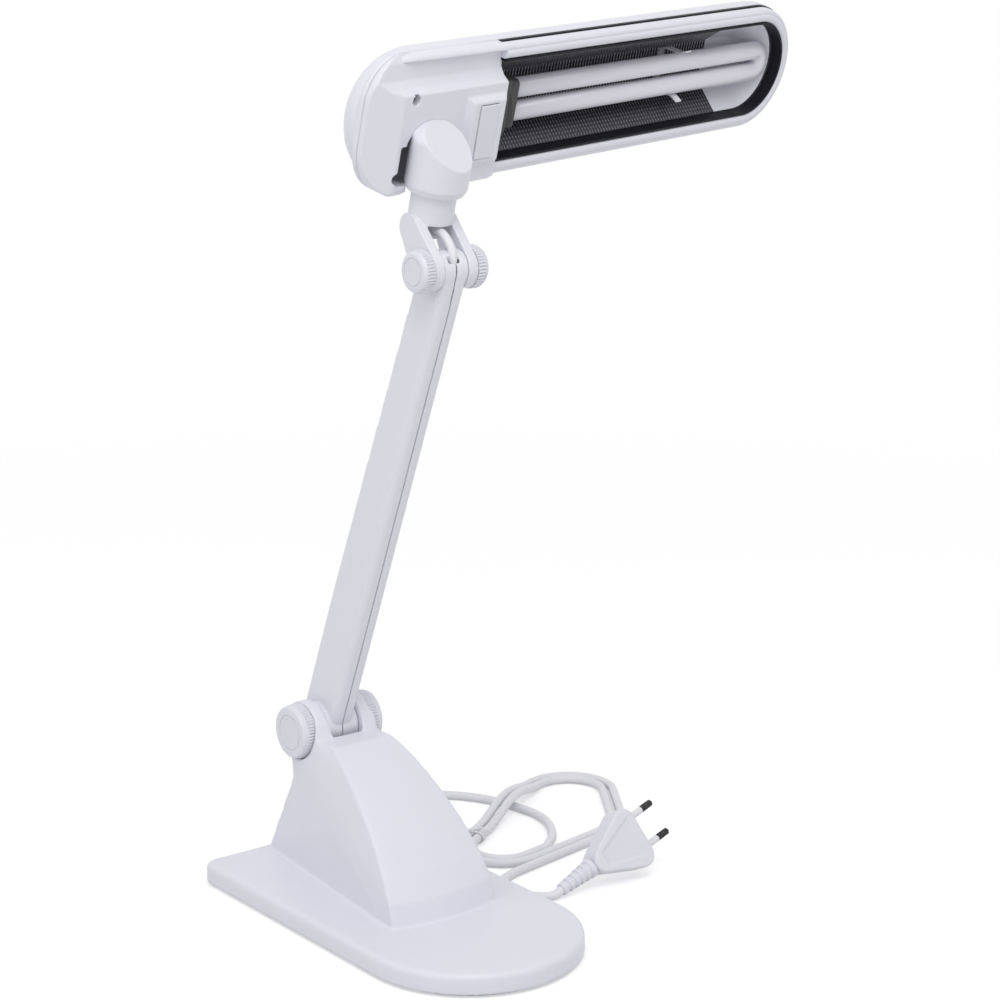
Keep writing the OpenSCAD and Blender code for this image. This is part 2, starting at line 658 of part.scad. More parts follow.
// Elbow: barrel round the swivel, cut off on a slant, with a flange in the rear cover
flange_a = [-9, 22];
flange_b = [-30, 8];
flange_d = head_wall - plateau;
flange_h = 3;
elbow_screws_ab = [for (b = [-12, 3]) [notch_a[1] + 3.5, b]];
module swivel_elbow() color("white") difference() {
    union() {
        at_swivel() rotate_extrude() polygon([
            [0, elbow_z], [elbow_r - 1.6, elbow_z], [elbow_r, elbow_z + 3.4],
            [elbow_r, head_up + elbow_r], [0, head_up + elbow_r]
        ]);
        at_head() block(flange_a, [flange_d, flange_d + flange_h], flange_b);
    }
    at_swivel() intersection() {
        cylinder(r = elbow_r + run_gap, h = 2 * head_up);
        translate([0, 0, elbow_cut_z]) rotate([elbow_slope, 0, 0])
            block([-2 * elbow_r, 2 * elbow_r], [-3 * elbow_r, 3 * elbow_r], [0, 3 * elbow_r]);
    }
    at_swivel() {
        translate([0, 0, elbow_z - over]) cylinder(r = spigot_r + fit, h = shelf_z - elbow_z + 2 * over);
        translate([0, 0, shelf_z]) cylinder(r = ring_r + run_gap, h = ring_h + 2 * over);
        translate([0, 0, shelf_z]) cylinder(r = cable_bore_r, h = 3 * over + ring_h + cable_bore_r);
        translate([0, 0, shelf_z + ring_h + cable_bore_r]) rod_y(0, 2 * elbow_r, cable_bore_r - over);
    }
    at_head() for (p = elbow_screws_ab) translate([p[0], 0, p[1]])
        rod_y(-plateau, 2 * head_wall, 1.2 + fit);
}
module elbow_screws() color("silver") at_head() for (p = elbow_screws_ab) translate([p[0], 0, p[1]]) {
    rod_y(flange_d - head_wall / 2, flange_d + flange_h + eps, 1.2);
    rod_y(flange_d + flange_h, flange_d + flange_h + 1.4, 2.4);
}

// Outline of the head, seen along its depth
module rear_plan(inset) {
    translate([head_corner - head_rear, inset - head_hw])
        square([head_hw, 2 * (head_hw - inset)]);
    translate([inset - head_rear, head_corner - head_hw])
        square([head_corner, 2 * (head_hw - head_corner)]);
    for (s = [-1, 1]) translate([head_corner - head_rear, s * (head_hw - head_corner)])
        circle(r = head_corner - inset);
}
module head_plan(inset) {
    rear_plan(inset);
    translate([tip_c, 0]) circle(r = head_hw - inset);
    translate([rear_c, inset - head_hw]) square([tip_c - rear_c, 2 * (head_hw - inset)]);
}

// Top shell: straight rim, then a dome that is round at both ends
rear_c = head_hw - head_rear;
dome_steps = 15;
function dome_depth(b, inset) =
    dome_start + (head_depth - dome_start - inset) * sqrt(1 - pow(b / (head_hw - inset), 2));
// Quarter ellipse from the wall to the back of the dome
function dome_curve(inset) = [for (i = [0 : dome_steps]) let (q = 90 * i / dome_steps)
    [(head_hw - inset) * cos(q), dome_start + (head_depth - dome_start - inset) * sin(q)]];
module dome_half_section(inset, rim)
    polygon(concat([[0, rim], [head_hw - inset, rim]], dome_curve(inset)));
module dome_end(inset, rim, turn)
    rotate([-90, 0, 0]) rotate([0, 0, turn]) rotate_extrude(angle = 180) dome_half_section(inset, rim);
module dome(inset, rim) {
    both_edges() along_x(rear_c, tip_c) mirror([1, -1, 0]) dome_half_section(inset, rim);
    translate([tip_c, 0, 0]) dome_end(inset, rim, -90);
    translate([rear_c, 0, 0]) dome_end(inset, rim, 90);
    along_y(rim, dome_start - inset) rear_plan(inset);
}
module head_top_shell() color("white") at_head() difference() {
    union() {
        difference() {
            dome(0, seam_d);
            dome(head_wall, seam_d - over);
        }
        intersection() {
            dome(head_wall / 2, seam_d);
            for (p = cover_screws) translate([p[0], 0, p[1]]) rod_y(seam_d, head_depth, head_boss_r);
        }
    }
    for (p = cover_screws) translate([p[0], 0, p[1]])
        rod_y(seam_d - over, seam_d + 10, head_screw_r + fit);
}

// Rear cover: plateau with sloping edges, notch for the elbow and a raised switch box
module cover_across(inset) {
    low = seam_d + (inset > 0 ? over : 0);
    hw = head_hw - inset;
    polygon([
        [low, -hw], [0.5, -hw], [inset - plateau, 3 - hw], [inset - plateau, 17 - inset],
        [inset + 1, 19.5 - inset], [inset + 3.7, 23 - inset / 2], [inset + 5.2, 31 - inset], [low, hw]
    ]);
}
module cover_along(inset) {
    low = seam_d + (inset > 0 ? over : 0);
    polygon([
        [inset - head_rear, low], [inset - head_rear, 5.5 + inset / 2], [inset / 2 - 22.5, inset - plateau],
        [opening_a - inset, inset - plateau], [opening_a - inset, low]
    ]);
}
module cover_solid(inset) intersection() {
    along_x(-head_rear, opening_a) cover_across(inset);
    translate([0, 0, -head_hw]) linear_extrude(2 * head_hw) cover_along(inset);
    along_y(-plateau, seam_d + over) head_plan(inset);
}
module button_plan(gap) translate([switch_a, switch_b])
    square([button_l + 2 * gap, button_w + 2 * gap], center = true);
switch_top = plateau + switch_rise;
module switch_box() {
    hull() {
        along_y(eps - plateau, 2 * eps - plateau) translate([switch_a, switch_b])
            square([button_l + 3.4 * switch_margin, button_w + 3 * switch_margin - 6], center = true);
        along_y(-switch_top, eps - switch_top) translate([switch_a, switch_b])
            square([button_l + 2 * switch_margin, button_w + 2 * switch_margin - 6], center = true);
    }
}
// Notch for the elbow: a slot with an arch over the slanted facet
module notch_plan() {
    r = elbow_r + run_gap;
    translate([notch_a[0], -2 * head_hw]) square([notch_a[1] - notch_a[0], 2 * head_hw + elbow_b]);
    polygon([for (q = [0 : 10 : 180])
        [min(r * cos(q), notch_a[1]), elbow_b - eps + r * tan(elbow_slope) * sin(q)]]);
}
module head_rear_cover() color("white") at_head() difference() {
    union() {
        difference() {
            cover_solid(0);
            cover_solid(head_wall);
        }
        switch_box();
        intersection() {
            cover_solid(0);
            for (p = cover_screws) translate([p[0], 0, p[1]]) rod_y(-plateau, seam_d, head_boss_r);
        }
    }
    along_y(-switch_top - over, seam_d) button_plan(run_gap);
    along_y(switch_skin - switch_top, head_wall - plateau + eps) button_plan(run_gap + flange_t);
    along_y(-2 * plateau, seam_d + over) notch_plan();
    for (p = cover_screws) translate([p[0], 0, p[1]]) {
        rod_y(-2 * plateau, well_floor, well_r);
        rod_y(0, seam_d + over, head_screw_r + fit);
    }
    for (p = elbow_screws_ab) translate([p[0], 0, p[1]])
        rod_y(flange_d - head_wall / 2 - run_gap, flange_d + over, 1.2 + fit);
}
module head_screws() color("silver") at_head() for (p = cover_screws) translate([p[0], 0, p[1]]) {
    rod_y(well_floor - 1.8, well_floor, well_r - run_gap);
    rod_y(well_floor - over, seam_d + 9, head_screw_r);
}

// Sections of the ring round the opening: x away from the centre line, y depth
module frame_section() {
    ro = 4;
    ri = 2;
    d = seam_d - slit;
    translate([opening_hw, ri]) square([head_hw - opening_hw, d - ro]);
    translate([opening_hw + ri, 0]) square([head_hw - opening_hw - ri - ro, d]);
    translate([opening_hw, ri]) square([head_hw - opening_hw - ro, d - ri]);
    translate([head_hw - ro, ro]) square([ro, d - ro]);
    translate([opening_hw + ri, ri]) circle(r = ri);
    translate([head_hw - ro, ro]) intersection() {
        circle(r = ro);
        translate([-ro, -ro]) square([2 * ro, d]);
    }
}
module gasket_section() {
    translate([opening_hw - liner_t, 0.8]) square([liner_t - 0.1, seam_d - 0.1]);
    translate([opening_hw - liner_t, seam_d - slit]) square([head_hw - opening_hw + liner_t - 0.8, slit]);
}
// Carries a section down both sides of the opening and round its tip
module round_opening(a) {
    both_edges() along_x(a, tip_c) mirror([1, -1, 0]) children();
    translate([tip_c, 0, 0]) rotate([-90, 0, 0]) rotate([0, 0, -90]) rotate_extrude(angle = 180) children();
}
module opening_frame() color("white") at_head() round_opening(opening_a) frame_section();
module slit_gasket() color("black") at_head() round_opening(opening_a + run_gap) gasket_section();

module reflector() color("gray") at_head() along_x(cap_a, reflector_end) {
    lip = head_hw - head_wall - run_gap;
    polygon([
        [trough_lip_d, lip], [trough_lip_d, trough_mouth], [trough_d, trough_floor],
        [trough_d, -trough_floor], [trough_lip_d, -trough_mouth], [trough_lip_d, -lip],
        [trough_lip_d + sheet, -lip], [trough_lip_d + sheet, -trough_mouth - sheet / 2],
        [trough_d + sheet, -trough_floor - sheet / 2], [trough_d + sheet, trough_floor + sheet / 2],
        [trough_lip_d + sheet, trough_mouth + sheet / 2], [trough_lip_d + sheet, lip]
    ]);
}

// Lamp: holder on a stem, cap and one bent pair of tubes
cap_hb = tube_pitch / 2 + tube_r + 1.8;
cap_hd = tube_r + 2.2;
stem_hb = 12;
stem_d = dome_depth(stem_hb, head_wall);
module lamp_holder() color("dimgray") at_head() difference() {
    union() {
        along_x(holder_a, holder_a + holder_len) translate([tube_d, 0])
            round_rect(cap_hd + 1, cap_hb + 1.5, 2);
        block([holder_a, holder_a + holder_len - 2], [tube_d, stem_d - run_gap], [-stem_hb, stem_hb]);
    }
    for (s = [-1, 1]) translate([holder_a + 3, tube_d, s * tube_pitch / 2]) rod_x(0, holder_len, 1.2 + fit);
}
module lamp_cap() color("white") at_head() difference() {
    union() {
        along_x(cap_a, cap_a + cap_len) translate([tube_d, 0]) round_rect(cap_hd, cap_hb, 3);
        for (s = [-1, 1]) translate([0, tube_d, s * tube_pitch / 2]) rod_x(cap_a - 6, cap_a + eps, 1.2);
    }
    for (s = [-1, 1]) translate([0, tube_d, s * tube_pitch / 2])
        rod_x(cap_a + 4, cap_a + cap_len + over, tube_r + fit);
}
module lamp_tubes() color("ivory") at_head() translate([0, tube_d, 0]) {
    for (s = [-1, 1]) translate([0, 0, s * tube_pitch / 2]) rod_x(cap_a + 4 + fit, tube_c, tube_r);
    translate([tube_c, 0, 0]) rotate([-90, 0, 0]) rotate([0, 0, -90])
        rotate_extrude(angle = 180) translate([tube_pitch / 2, 0]) circle(r = tube_r);
}
// Spring clip on the reflector's floor, with a prong outside each tube
module lamp_clip() color("silver") at_head() along_x(clip_a - clip_w / 2, clip_a + clip_w / 2) {
    b = tube_pitch / 2 + tube_r + run_gap;
    half = [
        [trough_d - sheet, b - 2], [tube_d + tube_r + 2, b], [tube_d - 2, b],
        [tube_d - tube_r - 1, b + 2], [tube_d - tube_r - 1, b + 2 + sheet],
        [tube_d - 2, b + sheet], [tube_d + tube_r + 2, b + sheet], [trough_d, b + sheet - 2]
    ];
    polygon(concat(half, [for (i = [len(half) - 1 : -1 : 0]) [half[i][0], -half[i][1]]]));
}

// Switch: button in the box, its stem in a body seated under the cover
button_inner = switch_skin + run_gap - switch_top;
module switch_button() color("gainsboro") at_head() {
    along_y(-switch_top - 0.6, button_inner + eps) button_plan(0);
    along_y(button_inner, button_inner + flange_t) button_plan(flange_t);
    translate([switch_a, 0, switch_b])
        rod_y(button_inner, button_inner + flange_t + switch_travel + 2, stem_r);
}
seat_d = head_wall - plateau;
module switch_body() color("ivory") at_head() difference() {
    union() {
        along_y(seat_d + 2 * eps, seat_d + flange_t) button_plan(2.5 * flange_t);
        along_y(seat_d + flange_t - eps, seat_d + 9) button_plan(-2);
    }
    translate([switch_a, 0, switch_b])
        rod_y(seat_d - over, button_inner + flange_t + 2 * switch_travel + 2.5, stem_r + run_gap);
}

// Mains cord on the table: lead from the gland, hank of two turns, tail to the plug
cord_r = cord_d / 2;
cord_sides = 8;
cord_lie = 0.1;
folds = [[101, 47], [193, 100], [163, 57]];
hank_r = 16;
hank_start = 0.832;
hank_rings = 48;
hank_extra = 0.02;
cross_at = [148, 98];
cross_lift = 7.2;
cross_reach = 48;
tie_turn = 0.193;
tie_t = 0.9;
tie_w = 5;
tie_gap = 0.3;
tie_lift = tie_t + 0.5;
tie_reach = 36;

// Straight limbs between three round folds, followed clockwise; even spans are limbs, odd ones folds
limbs = [for (i = [0 : 2]) folds[(i + 1) % 3] - folds[i]];
limb_turn = [for (d = limbs) atan2(d[1], d[0]) + 90];
fold_sweep = [for (i = [0 : 2]) (limb_turn[i] - limb_turn[(i + 1) % 3] + 720) % 360];
spans = [for (k = [0 : 5]) k % 2 == 0 ? norm(limbs[k / 2]) : hank_r * fold_sweep[floor(k / 2)] * PI / 180];
function span_sum(k) = k == 0 ? 0 : spans[k - 1] + span_sum(k - 1);
function span_at(s, k) = k == 5 || s < span_sum(k + 1) ? k : span_at(s, k + 1);
function on_span(k, f, r) = let (i = floor(k / 2), a = limb_turn[i] - (k % 2) * f * fold_sweep[i])
    (k % 2 == 0 ? folds[i] + f * limbs[i] : folds[(i + 1) % 3]) + r * [cos(a), sin(a)];
function hank_place(turn, r) = let (s = ((hank_start + turn) % 1) * span_sum(6), k = span_at(s, 0))
    on_span(k, (s - span_sum(k)) / spans[k], r);
function hank_flat(turn) = hank_place(turn, hank_r + hank_step * turn);
function swell(d, reach) = d < reach ? pow(cos(90 * d / reach), 2) : 0;
tie_mid_r = hank_r + hank_step * (tie_turn + 0.5);
tie_at = hank_place(tie_turn, tie_mid_r);
function cord_z(p) = cord_r + cord_lie + tie_lift * swell(norm(p - tie_at), tie_reach);
function hank_point(turn) = let (p = hank_flat(turn))
    [p[0], p[1], cord_z(p) + cross_lift * swell(norm(p - cross_at), cross_reach)];
hank_end = hank_turns + hank_extra;
hank_steps = hank_rings * hank_turns;
hank_in = unit(hank_point(eps) - hank_point(0));
hank_out = unit(hank_point(hank_end) - hank_point(hank_end - eps));
hank_first = hank_point(0) - cord_d * hank_in;
hank_last = hank_point(hank_end) + cord_d * hank_out;
hank_route = concat([hank_first], [for (i = [0 : hank_steps]) hank_point(hank_end * i / hank_steps)],
    [hank_last]);
module cord_hank() color("white") tube(hank_route, cord_r, 6, [0, 0, 1]);

// Least gap between neighbouring turns, on points finer than the rings
fine = [for (i = [0 : 220]) hank_point(hank_end * i / 220)];
echo(hank_least_gap = min([for (i = [0 : 199], j = [i + 20 : 220]) norm(fine[i] - fine[j])]) - cord_d);

// Stretch of cord from a to b that leaves along u, arrives along v and passes the points between
function stretch(a, u, between, v, b) =
    concat([a], route(concat([a + cord_d * u], between, [b - cord_d * v]), 3), [b]);
function on_table(p) = [p[0], p[1], cord_z(p)];
lead_flat = [[68, 169], [92, 161], [114, 150], [130, 138], [141, 123], [147, 108], [150, 93], [151, 79],
    [148, 65], [141, 52], [134, 43], [126, 36.5]];
gland_tip = [gland_x, rear_y + gland_len, gland_z];
lead_drop = [[22, 154, 5], [31, 167, 3.4], [46, 172, cord_r + cord_lie]];
lead_route = stretch(gland_tip, [0, 1, 0], concat(lead_drop, [for (p = lead_flat) on_table(p)]),
    hank_in, hank_first);
module cord_lead() color("white") tube(lead_route, cord_r, cord_sides, [0, 0, 1]);

// Plug: x runs from the cord's end to the pins, y across the pins
plug_at = [84, -27, 4.6];
plug_turn = 5;
plug_rise = 17;
plug_roll = 62;
plug_dir = [cos(plug_rise) * cos(plug_turn), cos(plug_rise) * sin(plug_turn), sin(plug_rise)];
relief_len = 24;
plug_len = 38;
plug_face = relief_len + plug_len;
plug_hw = 18;
plug_corner = 7.5;
plug_ht = 7;
module at_plug() {
    translate(plug_at) rotate([0, -plug_rise, plug_turn]) rotate([plug_roll, 0, 0]) children();
}
tail_flat = [[91, 14], [79, 9], [69, 0], [65, -12], [70, -23]];
tail_route = stretch(hank_last, hank_out, [for (p = tail_flat) on_table(p)], plug_dir, plug_at);
module cord_tail() color("white") tube(tail_route, cord_r, cord_sides, [0, 0, 1]);

// Twist tie round the two strands of the upper limb
tie_dir = hank_place(tie_turn + eps, tie_mid_r) - hank_place(tie_turn - eps, tie_mid_r);
module hank_tie() color("white")
    translate([tie_at[0], tie_at[1], cord_z(tie_at)])
        rotate([0, 0, atan2(tie_dir[1], tie_dir[0])]) along_x(-tie_w / 2, tie_w / 2) difference() {
            round_rect(hank_step / 2 + cord_r + tie_gap + tie_t, cord_r + tie_gap + tie_t, cord_r);
            round_rect(hank_step / 2 + cord_r + tie_gap, cord_r + tie_gap, cord_r - tie_gap);
        }

// Tapered relief with a groove every few millimetres
relief_r = [cord_r + 0.9, 5.6];
grooves = 5;
module plug_strain_relief() color("white") at_plug() difference() {
    rotate([0, 90, 0]) cylinder(r1 = relief_r[0], r2 = relief_r[1], h = relief_len);
    for (i = [1 : grooves]) let (x = i * relief_len / (grooves + 1)) difference() {
        rod_x(x - 0.9, x + 0.9, 2 * relief_r[1]);
        rod_x(x - over, x + over, relief_r[0] + (relief_r[1] - relief_r[0]) * x / relief_len - 0.9);
    }
}
module plug_body() color("white") at_plug() difference() {
    hull() {
        translate([relief_len, 0, -plug_ht + 1]) cylinder(r = eps, h = 2 * plug_ht - 2);
        translate([relief_len + plug_corner, 0, -plug_ht])
            cylinder(r = plug_corner, h = 2 * plug_ht, $fn = hull_fn);
        for (s = [-1, 1]) translate([plug_face - plug_corner, s * (plug_hw - plug_corner), -plug_ht])
            cylinder(r = plug_corner, h = 2 * plug_ht, $fn = hull_fn);
    }
    for (s = [-1, 1]) translate([0, s * pin_pitch / 2, 0])
        rod_x(plug_face - 8, plug_face + over, pin_r - 0.5 + fit);
}
sleeve_len = 10;
module plug_pins() color("gold") at_plug() for (s = [-1, 1]) translate([0, s * pin_pitch / 2, 0]) {
    rod_x(plug_face - 8, plug_face + sleeve_len + eps, pin_r - 0.5);
    rod_x(plug_face + sleeve_len, plug_face + pin_len - pin_r / 2, pin_r);
    translate([plug_face + pin_len - pin_r / 2 - eps, 0, 0]) rotate([0, 90, 0])
        cylinder(r1 = pin_r, r2 = pin_r / 2, h = pin_r / 2);
}
module pin_sleeves() color("white") at_plug()
    for (s = [-1, 1]) translate([0, s * pin_pitch / 2, 0]) difference() {
    rod_x(plug_face, plug_face + sleeve_len, pin_r);
    rod_x(plug_face - over, plug_face + sleeve_len + over, pin_r - 0.5 + fit);
}

base_shell();
base_pad();
base_cover();
ballast_weight();
choke_core();
choke_winding();
terminal_block();
base_screws();
cord_gland();
lower_washers();
lower_knob_left();
lower_hinge_bolt();
lower_knob_right();
lower_hinge_nut();
arm_shell_left();
arm_shell_right();
arm_screws();
arm_cable();
neck_fork();
swivel_retainer();
hinge_flex();
upper_washers();
upper_knob_left();
upper_hinge_bolt();
upper_knob_right();
upper_hinge_nut();
swivel_elbow();
elbow_screws();
head_rear_cover();
head_top_shell();
head_screws();
opening_frame();
slit_gasket();
reflector();
lamp_holder();
lamp_cap();
lamp_tubes();
lamp_clip();
switch_body();
switch_button();
cord_lead();
cord_hank();
hank_tie();
cord_tail();
plug_strain_relief();
plug_body();
plug_pins();
pin_sleeves();
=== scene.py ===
from math import atan2, cos, hypot, pi, radians, sin

import bmesh
import bpy
from mathutils import Matrix, Vector
from mathutils.bvhtree import BVHTree


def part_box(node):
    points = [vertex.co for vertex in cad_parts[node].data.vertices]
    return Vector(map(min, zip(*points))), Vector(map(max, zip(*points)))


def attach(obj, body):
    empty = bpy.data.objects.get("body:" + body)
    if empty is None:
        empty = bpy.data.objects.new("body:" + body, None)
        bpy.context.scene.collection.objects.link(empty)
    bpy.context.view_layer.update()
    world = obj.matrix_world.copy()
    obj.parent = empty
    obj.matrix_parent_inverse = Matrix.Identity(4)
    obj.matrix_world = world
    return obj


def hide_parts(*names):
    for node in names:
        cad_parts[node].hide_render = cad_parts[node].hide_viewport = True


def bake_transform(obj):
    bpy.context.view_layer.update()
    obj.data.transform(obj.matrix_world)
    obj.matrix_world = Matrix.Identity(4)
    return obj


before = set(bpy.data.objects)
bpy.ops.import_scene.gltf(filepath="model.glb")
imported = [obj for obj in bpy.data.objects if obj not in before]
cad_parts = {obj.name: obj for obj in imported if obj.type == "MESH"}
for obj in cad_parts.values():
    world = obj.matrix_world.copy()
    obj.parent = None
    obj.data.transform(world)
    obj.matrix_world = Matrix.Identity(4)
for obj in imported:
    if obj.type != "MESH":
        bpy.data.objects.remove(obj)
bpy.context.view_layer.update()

# The lamp stands on a plain pale table in a light tent. The camera looks at it from the left
# and a little above, as a catalogue picture does, and the table fades into the white backdrop.
scene = bpy.context.scene
scene.view_settings.view_transform = "Standard"

camera_data = bpy.data.cameras.new("catalogue_camera")
camera_data.lens = 90.75
camera_data.sensor_width = 36.0
camera_data.clip_start = 0.01
camera = bpy.data.objects.new("catalogue_camera", camera_data)
camera.location = (-0.7414, -1.0348, 0.5270)
camera_aim = Vector((0.0, -0.0802, 0.2465))
camera.rotation_euler = (camera_aim - camera.location).to_track_quat("-Z", "Y").to_euler()
scene.collection.objects.link(camera)
scene.camera = camera

table_bm = bmesh.new()
bmesh.ops.create_circle(table_bm, cap_ends=True, segments=96, radius=2.4)
table_mesh = bpy.data.meshes.new("white_table")
table_bm.to_mesh(table_mesh)
table_bm.free()
table = bpy.data.objects.new("white_table", table_mesh)
scene.collection.objects.link(table)

table_paint = bpy.data.materials.new("white_table")
table_paint.use_nodes = True
nodes, links = table_paint.node_tree.nodes, table_paint.node_tree.links
nodes.clear()
table_out = nodes.new("ShaderNodeOutputMaterial")
table_mat = nodes.new("ShaderNodeBsdfDiffuse")
table_mat.inputs["Color"].default_value = (0.72, 0.72, 0.73, 1.0)
table_glow = nodes.new("ShaderNodeEmission")
table_sum = nodes.new("ShaderNodeAddShader")


def seen_level(nodes, links, strength, unseen, seen):
    rays = nodes.new("ShaderNodeLightPath")
    direct = nodes.new("ShaderNodeMath")
    direct.operation = "MAXIMUM"
    either = nodes.new("ShaderNodeMath")
    either.operation = "MAXIMUM"
    level = nodes.new("ShaderNodeMapRange")
    level.inputs["To Min"].default_value = unseen
    level.inputs["To Max"].default_value = seen
    links.new(rays.outputs["Is Camera Ray"], direct.inputs[0])
    links.new(rays.outputs["Is Glossy Ray"], direct.inputs[1])
    links.new(direct.outputs["Value"], either.inputs[0])
    links.new(rays.outputs["Is Transmission Ray"], either.inputs[1])
    links.new(either.outputs["Value"], level.inputs["Value"])
    links.new(level.outputs["Result"], strength)


seen_level(nodes, links, table_glow.inputs["Strength"], 0.0, 0.44)
links.new(table_mat.outputs["BSDF"], table_sum.inputs[0])
links.new(table_glow.outputs["Emission"], table_sum.inputs[1])
table_clear = nodes.new("ShaderNodeBsdfTransparent")
table_fade = nodes.new("ShaderNodeMixShader")
table_place = nodes.new("ShaderNodeTexCoord")
table_reach = nodes.new("ShaderNodeVectorMath")
table_reach.operation = "LENGTH"
table_ramp = nodes.new("ShaderNodeMapRange")
table_ramp.interpolation_type = "SMOOTHSTEP"
table_ramp.inputs["From Min"].default_value = 0.35
table_ramp.inputs["From Max"].default_value = 1.6
links.new(table_place.outputs["Object"], table_reach.inputs[0])
links.new(table_reach.outputs["Value"], table_ramp.inputs["Value"])
links.new(table_ramp.outputs["Result"], table_fade.inputs["Fac"])
links.new(table_sum.outputs["Shader"], table_fade.inputs[1])
links.new(table_clear.outputs["BSDF"], table_fade.inputs[2])
links.new(table_fade.outputs["Shader"], table_out.inputs["Surface"])
table_mesh.materials.append(table_paint)

tent = bpy.data.worlds.new("light_tent")
scene.world = tent
tent.use_nodes = True
nodes, links = tent.node_tree.nodes, tent.node_tree.links
nodes.clear()
tent_out = nodes.new("ShaderNodeOutputWorld")
tent_wall = nodes.new("ShaderNodeBackground")
tent_wall.inputs["Color"].default_value = (1.0, 1.0, 1.0, 1.0)
seen_level(nodes, links, tent_wall.inputs["Strength"], 0.65, 1.0)
links.new(tent_wall.outputs["Background"], tent_out.inputs["Surface"])


def softbox(name, place, aim, width, height, power):
    data = bpy.data.lights.new(name, "AREA")
    data.shape = "RECTANGLE"
    data.size = width
    data.size_y = height
    data.energy = power
    lamp = bpy.data.objects.new(name, data)
    lamp.location = place
    lamp.rotation_euler = (Vector(aim) - Vector(place)).to_track_quat("-Z", "Y").to_euler()
    scene.collection.objects.link(lamp)


softbox("front_softbox", (0.55, -1.55, 0.22), (0.0, -0.03, 0.28), 1.0, 0.5, 0.8)
softbox("top_softbox", (-0.45, -0.8, 1.5), (0.0, -0.02, 0.2), 1.0, 1.0, 8.4)
softbox("left_softbox", (-1.4, -0.2, 0.9), (0.0, -0.03, 0.35), 0.8, 0.9, 2.8)

# The base is one injection-moulded shell of satin white plastic: a D-shaped plate with a wedge
# pedestal that ends in two hinge ears. Its edges have the small radius of a mould.
white_shell_tone = (0.775, 0.775, 0.855, 1.0)


def moulded_plastic(name, tone, roughness, grain_size, grain_depth, mottle=0.025):
    paint = bpy.data.materials.new(name)
    paint.use_nodes = True
    nodes, links = paint.node_tree.nodes, paint.node_tree.links
    shader = nodes["Principled BSDF"]
    shader.inputs["IOR"].default_value = 1.5
    place = nodes.new("ShaderNodeTexCoord")
    cloud = nodes.new("ShaderNodeTexNoise")
    cloud.inputs["Scale"].default_value = 38.0
    cloud.inputs["Detail"].default_value = 4.0
    tint = nodes.new("ShaderNodeMix")
    tint.data_type = "RGBA"
    tint.inputs["A"].default_value = tone
    tint.inputs["B"].default_value = tuple(c * (1.0 - mottle) for c in tone[:3]) + (1.0,)
    gloss = nodes.new("ShaderNodeMapRange")
    gloss.inputs["From Min"].default_value = 0.3
    gloss.inputs["From Max"].default_value = 0.7
    gloss.inputs["To Min"].default_value = roughness - 0.04
    gloss.inputs["To Max"].default_value = roughness + 0.05
    grain = nodes.new("ShaderNodeTexNoise")
    grain.inputs["Scale"].default_value = 1.0 / grain_size
    grain.inputs["Detail"].default_value = 2.0
    relief = nodes.new("ShaderNodeBump")
    relief.inputs["Strength"].default_value = 0.35
    relief.inputs["Distance"].default_value = grain_depth
    links.new(place.outputs["Object"], cloud.inputs["Vector"])
    links.new(place.outputs["Object"], grain.inputs["Vector"])
    links.new(cloud.outputs["Fac"], tint.inputs["Factor"])
    links.new(tint.outputs["Result"], shader.inputs["Base Color"])
    links.new(cloud.outputs["Fac"], gloss.inputs["Value"])
    links.new(gloss.outputs["Result"], shader.inputs["Roughness"])
    links.new(grain.outputs["Fac"], relief.inputs["Height"])
    links.new(relief.outputs["Normal"], shader.inputs["Normal"])
    return paint


def moulded(name, node, body, paint, step, passes, lie=None, add=None, reshape=None):
    lie = lie or Matrix()
    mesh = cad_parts[node].data.copy()
    mesh.materials.clear()
    mesh.transform(lie.inverted())
    bm = bmesh.new()
    bm.from_mesh(mesh)
    bmesh.ops.remove_doubles(bm, verts=bm.verts, dist=1e-5)
    if add:
        add(bm)
    skin = BVHTree.FromBMesh(bm)
    bm.to_mesh(mesh)
    bm.free()
    piece = bpy.data.objects.new(name, mesh)
    scene.collection.objects.link(piece)
    remesh = piece.modifiers.new("mould", "REMESH")
    remesh.mode = "VOXEL"
    remesh.voxel_size = step
    solid = bpy.data.meshes.new_from_object(piece.evaluated_get(bpy.context.evaluated_depsgraph_get()))
    piece.modifiers.clear()
    bm = bmesh.new()
    bm.from_mesh(solid)
    for v in bm.verts:
        v.co = skin.find_nearest(v.co)[0]
    for _ in range(passes):
        bmesh.ops.smooth_vert(bm, verts=bm.verts, factor=0.5, use_axis_x=True, use_axis_y=True, use_axis_z=True)
    if reshape:
        for v in bm.verts:
            v.co = reshape(v.co)
    bmesh.ops.transform(bm, matrix=lie, verts=bm.verts)
    bm.to_mesh(solid)
    bm.free()
    solid.shade_smooth()
    solid.materials.clear()
    solid.materials.append(paint)
    piece.data = solid
    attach(piece, body)
    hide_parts(node)
    return piece


base_white = moulded_plastic("base_white", white_shell_tone, 0.42, 0.00055, 0.00006)
foot_z, brow_z, ear_y = 12.7, 89.8, 58.0
front_r, front_y, front_z = 180.0, 121.2, -76.1
arch_deep, arch_wide, brow_back, brow_narrow = 11, 0.07, 3.7, 0.1


def arched_front(p):
    x, y, z = p * 1000
    t = (z - foot_z) / (brow_z - foot_z)
    if t <= 0 or y >= ear_y:
        return p
    t = min(t, 1.0)
    face = front_y - (front_r ** 2 - (min(z, brow_z) - front_z) ** 2) ** 0.5
    near = min((ear_y - y) / (ear_y - face), 1.0)
    y += near * (brow_back * t ** 12 - arch_deep * t * (1 - t ** 4))
    x *= 1 + near * (arch_wide * sin(pi * t) - brow_narrow * t ** 12)
    return Vector((x, y, z)) * 0.001


moulded("base_moulding", "base_shell", "base", base_white, 0.00112, 2, reshape=arched_front)

